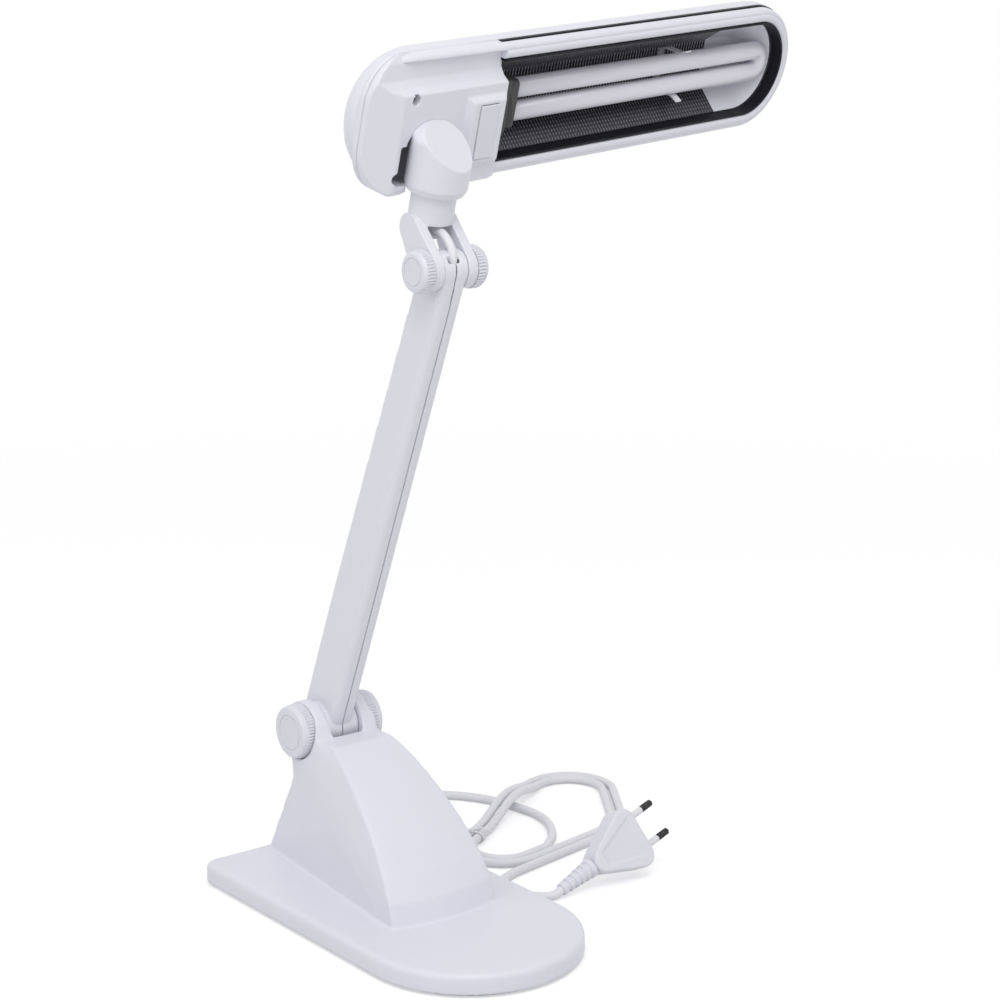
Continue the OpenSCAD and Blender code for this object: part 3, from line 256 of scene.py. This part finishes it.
# Under the base a steel plate closes the moulding, held by four screws, with a felt pad glued
# below it. On it sit the cast ballast, the choke and a terminal block, out of sight.


def bright_metal(name, tone, roughness, scratch_size, scratch_depth):
    paint = bpy.data.materials.new(name)
    paint.use_nodes = True
    nodes, links = paint.node_tree.nodes, paint.node_tree.links
    shader = nodes["Principled BSDF"]
    shader.inputs["Metallic"].default_value = 1.0
    place = nodes.new("ShaderNodeTexCoord")
    haze = nodes.new("ShaderNodeTexNoise")
    haze.inputs["Scale"].default_value = 1.0 / scratch_size
    haze.inputs["Detail"].default_value = 3.0
    tint = nodes.new("ShaderNodeMix")
    tint.data_type = "RGBA"
    tint.inputs["A"].default_value = tone
    tint.inputs["B"].default_value = tuple(c * 0.82 for c in tone[:3]) + (1.0,)
    gloss = nodes.new("ShaderNodeMapRange")
    gloss.inputs["To Min"].default_value = roughness * 0.7
    gloss.inputs["To Max"].default_value = roughness * 1.3
    relief = nodes.new("ShaderNodeBump")
    relief.inputs["Strength"].default_value = 0.25
    relief.inputs["Distance"].default_value = scratch_depth
    links.new(place.outputs["Object"], haze.inputs["Vector"])
    links.new(haze.outputs["Fac"], tint.inputs["Factor"])
    links.new(tint.outputs["Result"], shader.inputs["Base Color"])
    links.new(haze.outputs["Fac"], gloss.inputs["Value"])
    links.new(gloss.outputs["Result"], shader.inputs["Roughness"])
    links.new(haze.outputs["Fac"], relief.inputs["Height"])
    links.new(relief.outputs["Normal"], shader.inputs["Normal"])
    return paint


def dress(node, paint):
    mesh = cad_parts[node].data
    mesh.materials.clear()
    mesh.materials.append(paint)


zinc_steel = bright_metal("zinc_steel", (0.62, 0.63, 0.65, 1.0), 0.34, 0.003, 0.00003)
cast_iron = bright_metal("cast_iron", (0.20, 0.20, 0.22, 1.0), 0.6, 0.0012, 0.0002)
dress("base_cover", zinc_steel)
dress("base_screws", zinc_steel)
dress("ballast_weight", cast_iron)

felt_grey = moulded_plastic("felt_grey", (0.055, 0.055, 0.06, 1.0), 0.93, 0.0004, 0.0004, 0.5)
dress("base_pad", felt_grey)

core_iron = bright_metal("core_iron", (0.16, 0.155, 0.15, 1.0), 0.5, 0.0008, 0.0001)
sheets = core_iron.node_tree.nodes.new("ShaderNodeTexWave")
sheets.bands_direction = "X"
sheets.inputs["Scale"].default_value = 320.0
core_place = core_iron.node_tree.nodes.new("ShaderNodeTexCoord")
core_iron.node_tree.links.new(core_place.outputs["Object"], sheets.inputs["Vector"])
core_bump = next(n for n in core_iron.node_tree.nodes if n.type == "BUMP")
core_iron.node_tree.links.new(sheets.outputs["Fac"], core_bump.inputs["Height"])
dress("choke_core", core_iron)

winding_copper = bright_metal("winding_copper", (0.60, 0.26, 0.11, 1.0), 0.3, 0.0006, 0.0001)
dress("choke_winding", winding_copper)

ivory_plastic = moulded_plastic("ivory_plastic", (0.74, 0.71, 0.62, 1.0), 0.45, 0.0006, 0.00005)
dress("terminal_block", ivory_plastic)

# The mains cord is a round white lead of 5.2 mm. It leaves the gland at the back of the plate,
# swings round to a hank of two turns held by a tie, and its tail ends in a moulded plug.
cord_d, cord_d_mm, cord_r = 0.0052, 5.2, 2.6
cord_lie = 0.1
folds = [Vector((101, 47)), Vector((193, 100)), Vector((163, 57))]
hank_r, hank_start, hank_step, hank_end = 17.2, 0.832, 6.4, 2.02
cross_at, cross_lift, cross_reach = Vector((148, 98)), 7.2, 48.0
tie_turn, tie_lift, tie_reach = 0.193, 1.4, 36.0
gland_tip = Vector((20, 138.5, 6.75))
lead_drop = [(22, 154, 5), (31, 167, 3.4), (46, 172, 2.7)]
lead_flat = [(68, 169), (92, 161), (114, 150), (130, 138), (141, 123), (147, 108), (150, 93),
             (151, 79), (148, 65), (141, 52), (134, 43), (126, 36.5)]
tail_flat = [(91, 14.5), (80, 11.9), (70.5, 7.4), (64.7, -0.8), (63.8, -10.9), (68.1, -20)]
plug_at = Vector((84, -27, 4.6))
plug_turn, plug_rise, plug_roll = radians(5), radians(17), radians(62)
plug_dir = Vector((cos(plug_rise) * cos(plug_turn), cos(plug_rise) * sin(plug_turn), sin(plug_rise)))

limbs = [folds[(i + 1) % 3] - folds[i] for i in range(3)]
limb_turn = [atan2(d.y, d.x) + pi / 2 for d in limbs]
fold_sweep = [(limb_turn[i] - limb_turn[(i + 1) % 3]) % (2 * pi) for i in range(3)]
spans = [s for i in range(3) for s in (limbs[i].length, hank_r * fold_sweep[i])]


def hank_place(turn, r):
    s = (hank_start + turn) % 1.0 * sum(spans)
    k = 0
    while k < 5 and s >= spans[k]:
        s -= spans[k]
        k += 1
    i, f = k // 2, s / spans[k]
    at, a = folds[i] + f * limbs[i], limb_turn[i]
    if k % 2:
        at, a = folds[(i + 1) % 3], limb_turn[i] - f * fold_sweep[i]
    return at + r * Vector((cos(a), sin(a)))


def hank_flat(turn):
    return hank_place(turn, hank_r + hank_step * turn)


def swell(distance, reach):
    return cos(pi / 2 * distance / reach) ** 2 if distance < reach else 0.0


tie_at = hank_place(tie_turn, hank_r + hank_step * (tie_turn + 0.5))


def on_table(p):
    p = Vector(p)
    return p.to_3d() + Vector((0, 0, cord_r + cord_lie + tie_lift * swell((p - tie_at).length, tie_reach)))


def hank_point(turn):
    p = hank_flat(turn)
    return on_table(p) + Vector((0, 0, cross_lift * swell((p - cross_at).length, cross_reach)))


hank_in = (hank_point(0.01) - hank_point(0)).normalized()
hank_out = (hank_point(hank_end) - hank_point(hank_end - 0.01)).normalized()
hank_first = hank_point(0) - cord_d_mm * hank_in
hank_last = hank_point(hank_end) + cord_d_mm * hank_out
lead = [gland_tip, gland_tip + Vector((0, cord_d_mm, 0))] + [Vector(p) for p in lead_drop]
lead += [on_table(p) for p in lead_flat] + [hank_first - cord_d_mm * hank_in, hank_first]
hank_steps = 192
hank = [hank_point(hank_end * i / hank_steps) for i in range(hank_steps + 1)]
tail = [hank_last, hank_last + cord_d_mm * hank_out] + [on_table(p) for p in tail_flat]
tail += [plug_at - cord_d_mm * plug_dir, plug_at]
cord_route = [p * 0.001 for p in lead + hank + tail]


def round_strand(name, route, radius, along, around):
    curve = bpy.data.curves.new(name, "CURVE")
    curve.dimensions = "3D"
    curve.resolution_u = along
    curve.bevel_depth = radius
    curve.bevel_resolution = around
    curve.use_fill_caps = True
    line = curve.splines.new("BEZIER")
    line.bezier_points.add(len(route) - 1)
    for point, at in zip(line.bezier_points, route):
        point.co = at
        point.handle_left_type = point.handle_right_type = "AUTO"
    return curve


cord_curve = round_strand("mains_cord", cord_route, cord_d / 2, 4, 5)
cord = bpy.data.objects.new("mains_cord", cord_curve)
scene.collection.objects.link(cord)
cord_white = moulded_plastic("cord_white", (0.80, 0.80, 0.84, 1.0), 0.38, 0.0012, 0.00008)
cord_curve.materials.append(cord_white)
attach(cord, "base")
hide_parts("cord_lead", "cord_hank", "cord_tail")


def refined(name, node, body, paint, crease=32):
    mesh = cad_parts[node].data.copy()
    mesh.materials.clear()
    bm = bmesh.new()
    bm.from_mesh(mesh)
    bmesh.ops.remove_doubles(bm, verts=bm.verts, dist=1e-5)
    bm.to_mesh(mesh)
    bm.free()
    mesh.shade_smooth()
    mesh.set_sharp_from_angle(angle=radians(crease))
    mesh.materials.append(paint)
    piece = bpy.data.objects.new(name, mesh)
    scene.collection.objects.link(piece)
    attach(piece, body)
    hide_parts(node)
    return piece


refined("cord_sleeve", "cord_gland", "base", cord_white)

# The plug is moulded onto the cord: a fan-shaped body with a grooved strain relief behind it and
# two nickel-plated pins with white sleeves at their roots.
at_plug = (Matrix.Translation(plug_at * 0.001) @ Matrix.Rotation(plug_turn, 4, "Z")
           @ Matrix.Rotation(-plug_rise, 4, "Y") @ Matrix.Rotation(plug_roll, 4, "X"))
plug_white = moulded_plastic("plug_white", (0.765, 0.76, 0.835, 1.0), 0.36, 0.0006, 0.00005)
relief = moulded("plug_relief", "plug_strain_relief", "base", plug_white, 0.0003, 2, at_plug)
panel_from, panel_to, panel_hw, panel_flare = 31, 57.5, 4.5, 0.3
panel_deep, flat_side = 0.0009, 0.0055


def plug_panel(p):
    x, y = p.x * 1000, abs(p.y * 1000)
    inside = min(x - panel_from, panel_to - x, panel_hw + panel_flare * (x - panel_from) - y)
    sink = panel_deep * min(max(inside, 0.0), 1.0)
    return p - Vector((0, 0, sink if p.z > 0 else -sink)) if abs(p.z) > flat_side else p


plug = moulded("plug_moulding", "plug_body", "base", plug_white, 0.0006, 9, at_plug,
               reshape=plug_panel)

# The pins' near-black tone is a painted dark reflection on the nickel, not the metal's own colour.
pin_painted_reflection = bright_metal("pin_nickel_painted_reflection", (0.055, 0.053, 0.055, 1.0), 0.12, 0.002, 0.00002)
pins = refined("plug_pin_pair", "plug_pins", "base", pin_painted_reflection)
sleeve_white = moulded_plastic("sleeve_white", (0.80, 0.80, 0.84, 1.0), 0.35, 0.0008, 0.00003)
sleeves = refined("pin_sleeve_pair", "pin_sleeves", "base", sleeve_white)
tie_white = moulded_plastic("tie_white", (0.80, 0.80, 0.83, 1.0), 0.3, 0.0008, 0.00003)
tie_way = (hank_place(tie_turn + 0.002, hank_r) - hank_place(tie_turn - 0.002, hank_r)).normalized().to_3d()
tie_side = Vector((-tie_way.y, tie_way.x, 0))
tie_mid = on_table(tie_at)
tie_steps, tie_wide, tie_high = 28, 7.0, 3.55
tie_loop = [(0.4 * i / tie_steps - 1.6 + max(2 * i / tie_steps - 1, 0) * 2.4, tie_wide * cos(a), tie_high * sin(a))
            for i, a in ((i, pi / 2 + 4 * pi * i / tie_steps) for i in range(tie_steps + 1))]
tie_start = [(-3.4, 8.2, 4.4), (-2.2, 5.2, 4.9), (-2.6, 2.4, 4.5)]
tie_end = [(0.6, -1.6, 4.3), (1.9, -4.0, 4.9), (0.7, -6.4, 4.4), (2.0, -8.4, 3.6), (1.2, -10.6, 3.0)]
tie_route = [(tie_mid + along * tie_way + across * tie_side + Vector((0, 0, high))) * 0.001
             for along, across, high in tie_start + tie_loop + tie_end]


def strand_mesh(name, curve, paint):
    sweep = bpy.data.objects.new(name + "_sweep", curve)
    scene.collection.objects.link(sweep)
    mesh = bpy.data.meshes.new_from_object(sweep.evaluated_get(bpy.context.evaluated_depsgraph_get()))
    bpy.data.objects.remove(sweep)
    mesh.shade_smooth()
    mesh.materials.clear()
    mesh.materials.append(paint)
    return mesh


tie_mesh = strand_mesh("cord_tie", round_strand("cord_tie", tie_route, 0.00055, 4, 3), tie_white)
tie = bpy.data.objects.new("cord_tie", tie_mesh)
scene.collection.objects.link(tie)
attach(tie, "base")
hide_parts("hank_tie")

# The lower clamp hinge: a ribbed knob on each side of the ears, a bolt and a nut inside them, and
# washers between ears and knobs. The knobs are moulded in the same white as the base.
knob_white = moulded_plastic("knob_white", (0.755, 0.76, 0.825, 1.0), 0.36, 0.0005, 0.00004)


def ribbed_knob(name, node, body, outward, ribs, edge):
    low, high = (Vector(p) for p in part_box(node))
    r, w = (high.z - low.z) / 2, high.x - low.x
    groove = 0.66 * r
    line = [(0.0013, 0), (0.0013, 0.62 * r), (0, 0.62 * r), (0, r - 0.0003), (0.0003, r), (0.0044, r),
            (0.0047, r - 0.0005), (w - edge, r - 0.0006), (w - 0.6 * edge, r - 0.0006 - 0.1 * edge),
            (w - 0.28 * edge, r - 0.0006 - 0.3 * edge), (w - 0.08 * edge, r - 0.0006 - 0.62 * edge),
            (w, r - 0.0006 - edge), (w, groove), (w - 0.0004, groove - 0.00015),
            (w - 0.0004, groove - 0.0005), (w, groove - 0.00065), (w, 0)]
    bm = bmesh.new()
    points = [bm.verts.new((outward * x, 0, z)) for x, z in line]
    outline = [bm.edges.new(pair) for pair in zip(points, points[1:])]
    bmesh.ops.spin(bm, geom=points + outline, cent=(0, 0, 0), axis=(1, 0, 0), dvec=(0, 0, 0), angle=2 * pi,
                   steps=6 * ribs, use_merge=True, use_duplicate=False)
    bmesh.ops.remove_doubles(bm, verts=bm.verts, dist=1e-6)
    bmesh.ops.recalc_face_normals(bm, faces=bm.faces)
    for v in bm.verts:
        reach = hypot(v.co.y, v.co.z)
        if reach > r - 0.0001:
            valley = (0, 0, 0.35, 1, 1, 0.35)[round(atan2(v.co.y, v.co.z) / (2 * pi) * 6 * ribs) % 6]
            v.co.yz = v.co.yz * (1 - 0.0009 * valley / r)
    inner = low.x if outward > 0 else high.x
    bmesh.ops.translate(bm, verts=bm.verts, vec=(inner, (low.y + high.y) / 2, (low.z + high.z) / 2))
    mesh = bpy.data.meshes.new(name)
    bm.to_mesh(mesh)
    bm.free()
    mesh.shade_smooth()
    mesh.set_sharp_from_angle(angle=radians(40))
    mesh.materials.append(knob_white)
    piece = bpy.data.objects.new(name, mesh)
    scene.collection.objects.link(piece)
    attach(piece, body)
    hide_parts(node)


ribbed_knob("lower_knob_left_cap", "lower_knob_left", "lower_left_knob", -1, 54, 0.0013)
ribbed_knob("lower_knob_right_cap", "lower_knob_right", "lower_right_knob", 1, 54, 0.0013)
for node in ("lower_hinge_bolt", "lower_hinge_nut", "lower_washers"):
    dress(node, zinc_steel)

# The arm is two half shells of white plastic, screwed together along the seam that shows as a
# dark hairline on its narrow faces. The lamp's cable runs inside it.
at_arm = Matrix.Translation((0, 0.0737, 0.0914)) @ Matrix.Rotation(radians(22.5), 4, "X")
arm_white = moulded_plastic("arm_white", (0.785, 0.785, 0.855, 1.0), 0.40, 0.00055, 0.00005)
arm_reach, barrel_r, brow_r = 0.2864, 0.0100, 0.0086
brow_low, brow_rise, lug_rise = radians(40), radians(46), radians(84)
seam_half, lug_from, brow_to = 0.0003, 0.0027, 0.0052


def brow(bm, x0, x1, rise):
    ring = [bm.verts.new((x, -r * cos(brow_low), arm_reach - r * sin(brow_low)))
            for x, r in ((x0, brow_r), (x1, brow_r), (x1, barrel_r), (x0, barrel_r))]
    edges = [bm.edges.new(pair) for pair in zip(ring, ring[1:] + ring[:1])]
    last = bmesh.ops.spin(bm, geom=ring + edges, cent=(0, 0, arm_reach), axis=(1, 0, 0), dvec=(0, 0, 0),
                          angle=-brow_low - rise, steps=14, use_merge=False, use_duplicate=False)["geom_last"]
    ends = edges + [g for g in last if isinstance(g, bmesh.types.BMEdge)]
    caps = bmesh.ops.holes_fill(bm, edges=ends, sides=0)["faces"]
    walls = {f for v in ring for f in v.link_faces} | set(caps)
    while True:
        more = {f for w in walls for e in w.edges for f in e.link_faces} - walls
        if not more:
            break
        walls |= more
    bmesh.ops.recalc_face_normals(bm, faces=list(walls))


def left_brow(bm):
    brow(bm, -brow_to, -seam_half, brow_rise)


def right_brow(bm):
    brow(bm, seam_half, brow_to, brow_rise)
    brow(bm, lug_from, brow_to, lug_rise)


moulded("arm_half_left", "arm_shell_left", "arm", arm_white, 0.0006, 2, at_arm, add=left_brow)
moulded("arm_half_right", "arm_shell_right", "arm", arm_white, 0.0006, 2, at_arm, add=right_brow)
refined("arm_screw_row", "arm_screws", "arm", zinc_steel)
dress("arm_cable", cord_white)

# The neck is a fork with a collar that nods on the arm's upper barrel, with its own pair of ribbed
# knobs, a bolt, a nut and two washers. A brass ring nut on its spigot holds the head.
at_neck = Matrix.Translation((0, -0.0359, 0.3560)) @ Matrix.Rotation(radians(16), 4, "X")
neck_white = moulded_plastic("neck_white", (0.775, 0.78, 0.84, 1.0), 0.40, 0.00055, 0.00005)


def bar(bm, x, run, side):
    rim = [bm.verts.new((x, y, z)) for y, z in side]
    far = bmesh.ops.extrude_face_region(bm, geom=[bm.faces.new(rim)])["geom"]
    bmesh.ops.translate(bm, verts=[g for g in far if isinstance(g, bmesh.types.BMVert)], vec=(run, 0, 0))
    faces = {f for v in rim for f in v.link_faces} | {g for g in far if isinstance(g, bmesh.types.BMFace)}
    bmesh.ops.recalc_face_normals(bm, faces=list(faces))


web_from, web_run = -0.0078, 0.0156
web_side = [(0.0225, 0.0200), (0.0195, 0.0200), (0.0112, 0.0112), (0.0136, 0.0110)]


def fork_web(bm):
    bar(bm, web_from, web_run, web_side)


moulded("neck_fork_moulding", "neck_fork", "neck", neck_white, 0.0005, 2, at_neck, add=fork_web)
ribbed_knob("upper_knob_left_cap", "upper_knob_left", "upper_left_knob", -1, 40, 0.0019)
ribbed_knob("upper_knob_right_cap", "upper_knob_right", "upper_right_knob", 1, 40, 0.0019)
for node in ("upper_hinge_bolt", "upper_hinge_nut", "upper_washers"):
    dress(node, zinc_steel)
ring_brass = bright_metal("ring_brass", (0.62, 0.44, 0.18, 1.0), 0.3, 0.002, 0.00003)
dress("swivel_retainer", ring_brass)

# Over the upper hinge the cable lies bare for a short stretch: a white sheathed lead that comes out
# of the arm's slot and enters the collar.
arm_top = Matrix.Translation((0, -0.0359, 0.3560)) @ Matrix.Rotation(radians(22.5), 4, "X")
flex_route = [arm_top @ Vector((0, y, z)) for y, z in
              ((-0.006, -0.0125), (-0.006, -0.0085), (-0.0058, -0.002), (-0.0046, 0.0045), (-0.0021, 0.0105))]
flex_route += [at_neck @ Vector((0, y, z)) for y, z in
               ((0.0022, 0.0145), (0.0072, 0.0162), (0.0125, 0.0162), (0.0168, 0.018), (0.0185, 0.0225),
                (0.0185, 0.027))]
flex_mesh = strand_mesh("neck_flex", round_strand("neck_flex", flex_route, 0.0022, 5, 5), cord_white)
flex = bpy.data.objects.new("neck_flex", flex_mesh)
scene.collection.objects.link(flex)
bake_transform(flex)
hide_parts("hinge_flex")

# The elbow is a short upright cylinder with a slanted facet on top. It turns on the neck's spigot
# and is screwed to the head's cover from inside.
at_swivel = at_neck @ Matrix.Translation((0, 0.0185, 0)) @ Matrix.Rotation(radians(11), 4, "Z")
at_head = at_swivel @ Matrix.Translation((0, 0.011, 0.0654))
elbow_white = moulded_plastic("elbow_white", (0.775, 0.775, 0.845, 1.0), 0.38, 0.00055, 0.00005)
body_z, seat_y, cad_facet, cad_slope = 40, 8.1, 16.4, 0.5774
facet_z, facet_front, facet_slope, facet_roll = 49.4, -16.1, 0.8, 0.12
crown_z, crown_rise, crown_r = 58, 10.7, 16.6


def elbow_facet(p):
    x, y, z = p * 1000
    if z < body_z or y > seat_y:
        return p
    slope = facet_z + facet_slope * (y - facet_front) - facet_roll * x
    crown = crown_z + crown_rise * max(0.0, 1 - (x / crown_r) ** 2) ** 0.5
    stretch = (min(slope, crown) - body_z) / (cad_facet + cad_slope * y)
    return Vector((x, y, body_z + (z - body_z) * stretch)) * 0.001


moulded("elbow_moulding", "swivel_elbow", "head", elbow_white, 0.00045, 2, at_swivel,
        reshape=elbow_facet)
dress("elbow_screws", zinc_steel)

# The head is a long capsule: a domed top shell, a rear cover with sloped sides and a raised switch
# box, and a rounded frame round the opening. All are moulded in white and screwed from below.
head_white = moulded_plastic("head_white", (0.775, 0.78, 0.85, 1.0), 0.38, 0.00055, 0.00005)
moulded("head_dome", "head_top_shell", "head", head_white, 0.001, 3, at_head)


sill_from, sill_run = -0.0212, 0.0090
sill_side = [(0.0080, -0.0358), (0.0006, -0.0358), (-0.0028, -0.0330), (-0.0028, -0.0298), (0.0080, -0.0298)]


def cover_sill(bm):
    bar(bm, sill_from, sill_run, sill_side)


moulded("head_cover", "head_rear_cover", "head", head_white, 0.0006, 2, at_head, add=cover_sill)
tip_c, mouth_from = 270.5, 51.8


def swept(name, section, stops, paint, node=None, start=mouth_from):
    bm = bmesh.new()
    rim = [bm.verts.new((start, d, b)) for b, d in section]
    edges = [bm.edges.new(pair) for pair in zip(rim, rim[1:] + rim[:1])]
    for stop in stops:
        if stop == "tip":
            last = bmesh.ops.spin(bm, geom=rim + edges, cent=(tip_c, 0, 0), axis=(0, 1, 0), dvec=(0, 0, 0),
                                  angle=pi, steps=48, use_merge=False, use_duplicate=False)["geom_last"]
        else:
            last = bmesh.ops.extrude_edge_only(bm, edges=edges)["geom"]
            bmesh.ops.translate(bm, verts=[g for g in last if isinstance(g, bmesh.types.BMVert)], vec=stop)
        rim = [g for g in last if isinstance(g, bmesh.types.BMVert)]
        edges = [g for g in last if isinstance(g, bmesh.types.BMEdge) and all(v in rim for v in g.verts)]
    bmesh.ops.holes_fill(bm, edges=[e for e in bm.edges if e.is_boundary], sides=0)
    bmesh.ops.recalc_face_normals(bm, faces=bm.faces)
    bmesh.ops.transform(bm, matrix=at_head @ Matrix.Scale(0.001, 4), verts=bm.verts)
    mesh = bpy.data.meshes.new(name)
    bm.to_mesh(mesh)
    bm.free()
    mesh.shade_smooth()
    mesh.set_sharp_from_angle(angle=radians(40))
    mesh.materials.append(paint)
    piece = bpy.data.objects.new(name, mesh)
    scene.collection.objects.link(piece)
    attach(piece, "head")
    if node:
        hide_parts(node)


mouth_run = [(tip_c - mouth_from, 0, 0), "tip", (mouth_from - tip_c, 0, 0)]
outer_band = [(32.1, 1.2), (32.5, 1.05), (33.0, 1.1), (33.6, 1.4), (34.2, 1.95), (34.7, 2.8), (34.95, 3.8),
              (35.0, 5.7)]
inner_band = [(27.5, 2.4), (27.7, 1.5), (28.2, 0.8), (28.9, 0.35), (29.8, 0.15), (30.7, 0.2), (31.3, 0.45),
              (31.75, 0.85)]
swept("mouth_frame", [(27.5, 6.2)] + inner_band + outer_band + [(34.6, 6.2)], mouth_run, head_white,
      "opening_frame")
swept("cover_lip", [(31.2, 8.2), (31.4, 3.2), (31.8, 1.7)] + outer_band[1:] + [(35.2, 8.2)],
      [(-40, 0.7, 0), (-24, 1.0, -0.1), (-6, 1.6, -0.6), (-4, 2.5, -1.0)], head_white)
dark_steel = bright_metal("dark_steel", (0.10, 0.10, 0.11, 1.0), 0.4, 0.001, 0.00002)
refined("cover_screw_pair", "head_screws", "head", dark_steel)

# The gasket is a rubber strip that lines the opening. Its near-black colour is painted shade: it
# stands in for the shadow in the gap between the frame and the top shell and for the dark
# reflection on the opening's inner wall.
gasket_painted_shade = moulded_plastic("gasket_painted_shade", (0.010, 0.010, 0.016, 1.0), 0.5, 0.0004, 0.00006, 0.3)
gasket_painted_shade.node_tree.nodes["Principled BSDF"].inputs["Specular IOR Level"].default_value = 0.15
swept("mouth_gasket_painted_shade", [(26.2, 0.9), (27.4, 0.9), (27.4, 6.3), (35.55, 6.3), (35.55, 8.2), (26.2, 8.2)], mouth_run,
      gasket_painted_shade, "slit_gasket")

# The reflector is a thin aluminium sheet folded to a trough, embossed all over with rows of small
# bumps that break up the light. It snaps behind the gasket, and a white bowl ends it at the tip.
# Its colour holds painted light: near black as a painted reflection of the shaded inside, lighter on
# the bump tops as painted glints, darker in the hollows as painted shade, and lighter towards the upper wall.
emboss_pitch, emboss_high, reflector_thick = 2.4, 0.42, 0.0004
trough = [Vector(p) for p in ((33.2, 9.3), (25.9, 9.3), (12.0, 25.2), (-12.0, 25.2), (-25.9, 9.3), (-33.2, 9.3))]
trough_ways = [b - a for a, b in zip(trough, trough[1:])]
trough_run = sum(w.length for w in trough_ways)
reflector_from, reflector_to = 63.9, 253.0
rows_along = 4 * round((reflector_to - reflector_from) / emboss_pitch)
rows_across = 2 * round(trough_run / emboss_pitch)
bm = bmesh.new()
glint_shade_layer = bm.verts.layers.float.new("painted_glint_shade")
bmesh.ops.create_grid(bm, x_segments=rows_along, y_segments=rows_across, size=1.0)
for v in bm.verts:
    i, j = round((v.co.x + 1) / 2 * rows_along), round((v.co.y + 1) / 2 * rows_across)
    lift = (1.0, 0.0, -1.0, 0.0)[i % 4] * (0.55, 1.0)[j % 2]
    left, k = trough_run * j / rows_across, 0
    while k < 4 and left > trough_ways[k].length:
        left -= trough_ways[k].length
        k += 1
    way = trough_ways[k].normalized()
    at = trough[k] + left * way + 0.5 * emboss_high * lift * Vector((-way.y, way.x))
    # painted glint and shade: lighter on the bump tops, darker in the hollows, lighter towards the upper wall
    v[glint_shade_layer] = 0.5 + 0.5 * lift + 0.5 * (0.4 - j / rows_across)
    a = reflector_from + (reflector_to - reflector_from) * i / rows_along
    v.co = at_head @ Vector((a * 0.001, at.y * 0.001, at.x * 0.001))
bmesh.ops.recalc_face_normals(bm, faces=bm.faces)
bmesh.ops.solidify(bm, geom=bm.faces[:], thickness=reflector_thick)
bmesh.ops.recalc_face_normals(bm, faces=bm.faces)
reflector_mesh = bpy.data.meshes.new("embossed_reflector")
bm.to_mesh(reflector_mesh)
bm.free()
reflector = bpy.data.objects.new("embossed_reflector", reflector_mesh)
scene.collection.objects.link(reflector)

reflector_metal = bpy.data.materials.new("aluminium_painted_glint_shade")
reflector_metal.use_nodes = True
nodes, links = reflector_metal.node_tree.nodes, reflector_metal.node_tree.links
shader = nodes["Principled BSDF"]
shader.inputs["Metallic"].default_value = 0.6
glint_shade_attribute = nodes.new("ShaderNodeAttribute")
glint_shade_attribute.attribute_name = "painted_glint_shade"
facet = nodes.new("ShaderNodeMapRange")
facet.interpolation_type = "SMOOTHSTEP"
facet.inputs["From Min"].default_value = 0.45
facet.inputs["From Max"].default_value = 1.0
# near-black tone A is a painted reflection of the shaded inside; pale tone B is the painted glint on the bump tops
tint = nodes.new("ShaderNodeMix")
tint.data_type = "RGBA"
tint.inputs["A"].default_value = (0.040, 0.039, 0.050, 1.0)
tint.inputs["B"].default_value = (0.78, 0.77, 0.82, 1.0)
place = nodes.new("ShaderNodeTexCoord")
haze = nodes.new("ShaderNodeTexNoise")
haze.inputs["Scale"].default_value = 400.0
gloss = nodes.new("ShaderNodeMapRange")
gloss.inputs["To Min"].default_value = 0.2
gloss.inputs["To Max"].default_value = 0.42
links.new(glint_shade_attribute.outputs["Fac"], facet.inputs["Value"])
links.new(facet.outputs["Result"], tint.inputs["Factor"])
links.new(tint.outputs["Result"], shader.inputs["Base Color"])
links.new(place.outputs["Object"], haze.inputs["Vector"])
links.new(haze.outputs["Fac"], gloss.inputs["Value"])
links.new(gloss.outputs["Result"], shader.inputs["Roughness"])
reflector_mesh.materials.append(reflector_metal)
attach(reflector, "head")
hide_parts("reflector")
bowl_run = tip_c - reflector_to
swept("reflector_end_bowl", [(26.0, 9.2), (12.1, 25.0), (3.0, 25.0), (3.0, 25.8), (12.4, 25.8), (26.5, 9.7)],
      [(bowl_run, 0, 0), "tip", (-bowl_run, 0, 0)], head_white, start=reflector_to)

# The lamp is one bent pair of white fluorescent tubes in a cap, pushed into a holder on a stem
# and kept by a white spring clip near its tip. Cap and holder are painted near black as painted
# shade, standing in for the shadow in the gap between the cover and the lamp's base.
holder_painted_shade = moulded_plastic("holder_painted_shade", (0.030, 0.030, 0.034, 1.0), 0.45, 0.0006, 0.00005, 0.2)
refined("lamp_socket", "lamp_holder", "head", holder_painted_shade)
refined("lamp_cap_moulding", "lamp_cap", "head", holder_painted_shade)
tube_white = moulded_plastic("tube_white", (0.80, 0.79, 0.86, 1.0), 0.2, 0.004, 0.00002, 0.03)
refined("twin_tubes", "lamp_tubes", "head", tube_white)
clip_white = moulded_plastic("clip_white", (0.80, 0.80, 0.84, 1.0), 0.3, 0.0008, 0.00003)
refined("tube_clip", "lamp_clip", "head", clip_white)

# The switch sits in the raised box of the cover: a flat push button in a body that is clipped in
# from behind.
moulded("switch_push_button", "switch_button", "switch", knob_white, 0.00025, 4, at_head)
dress("switch_body", ivory_plastic)
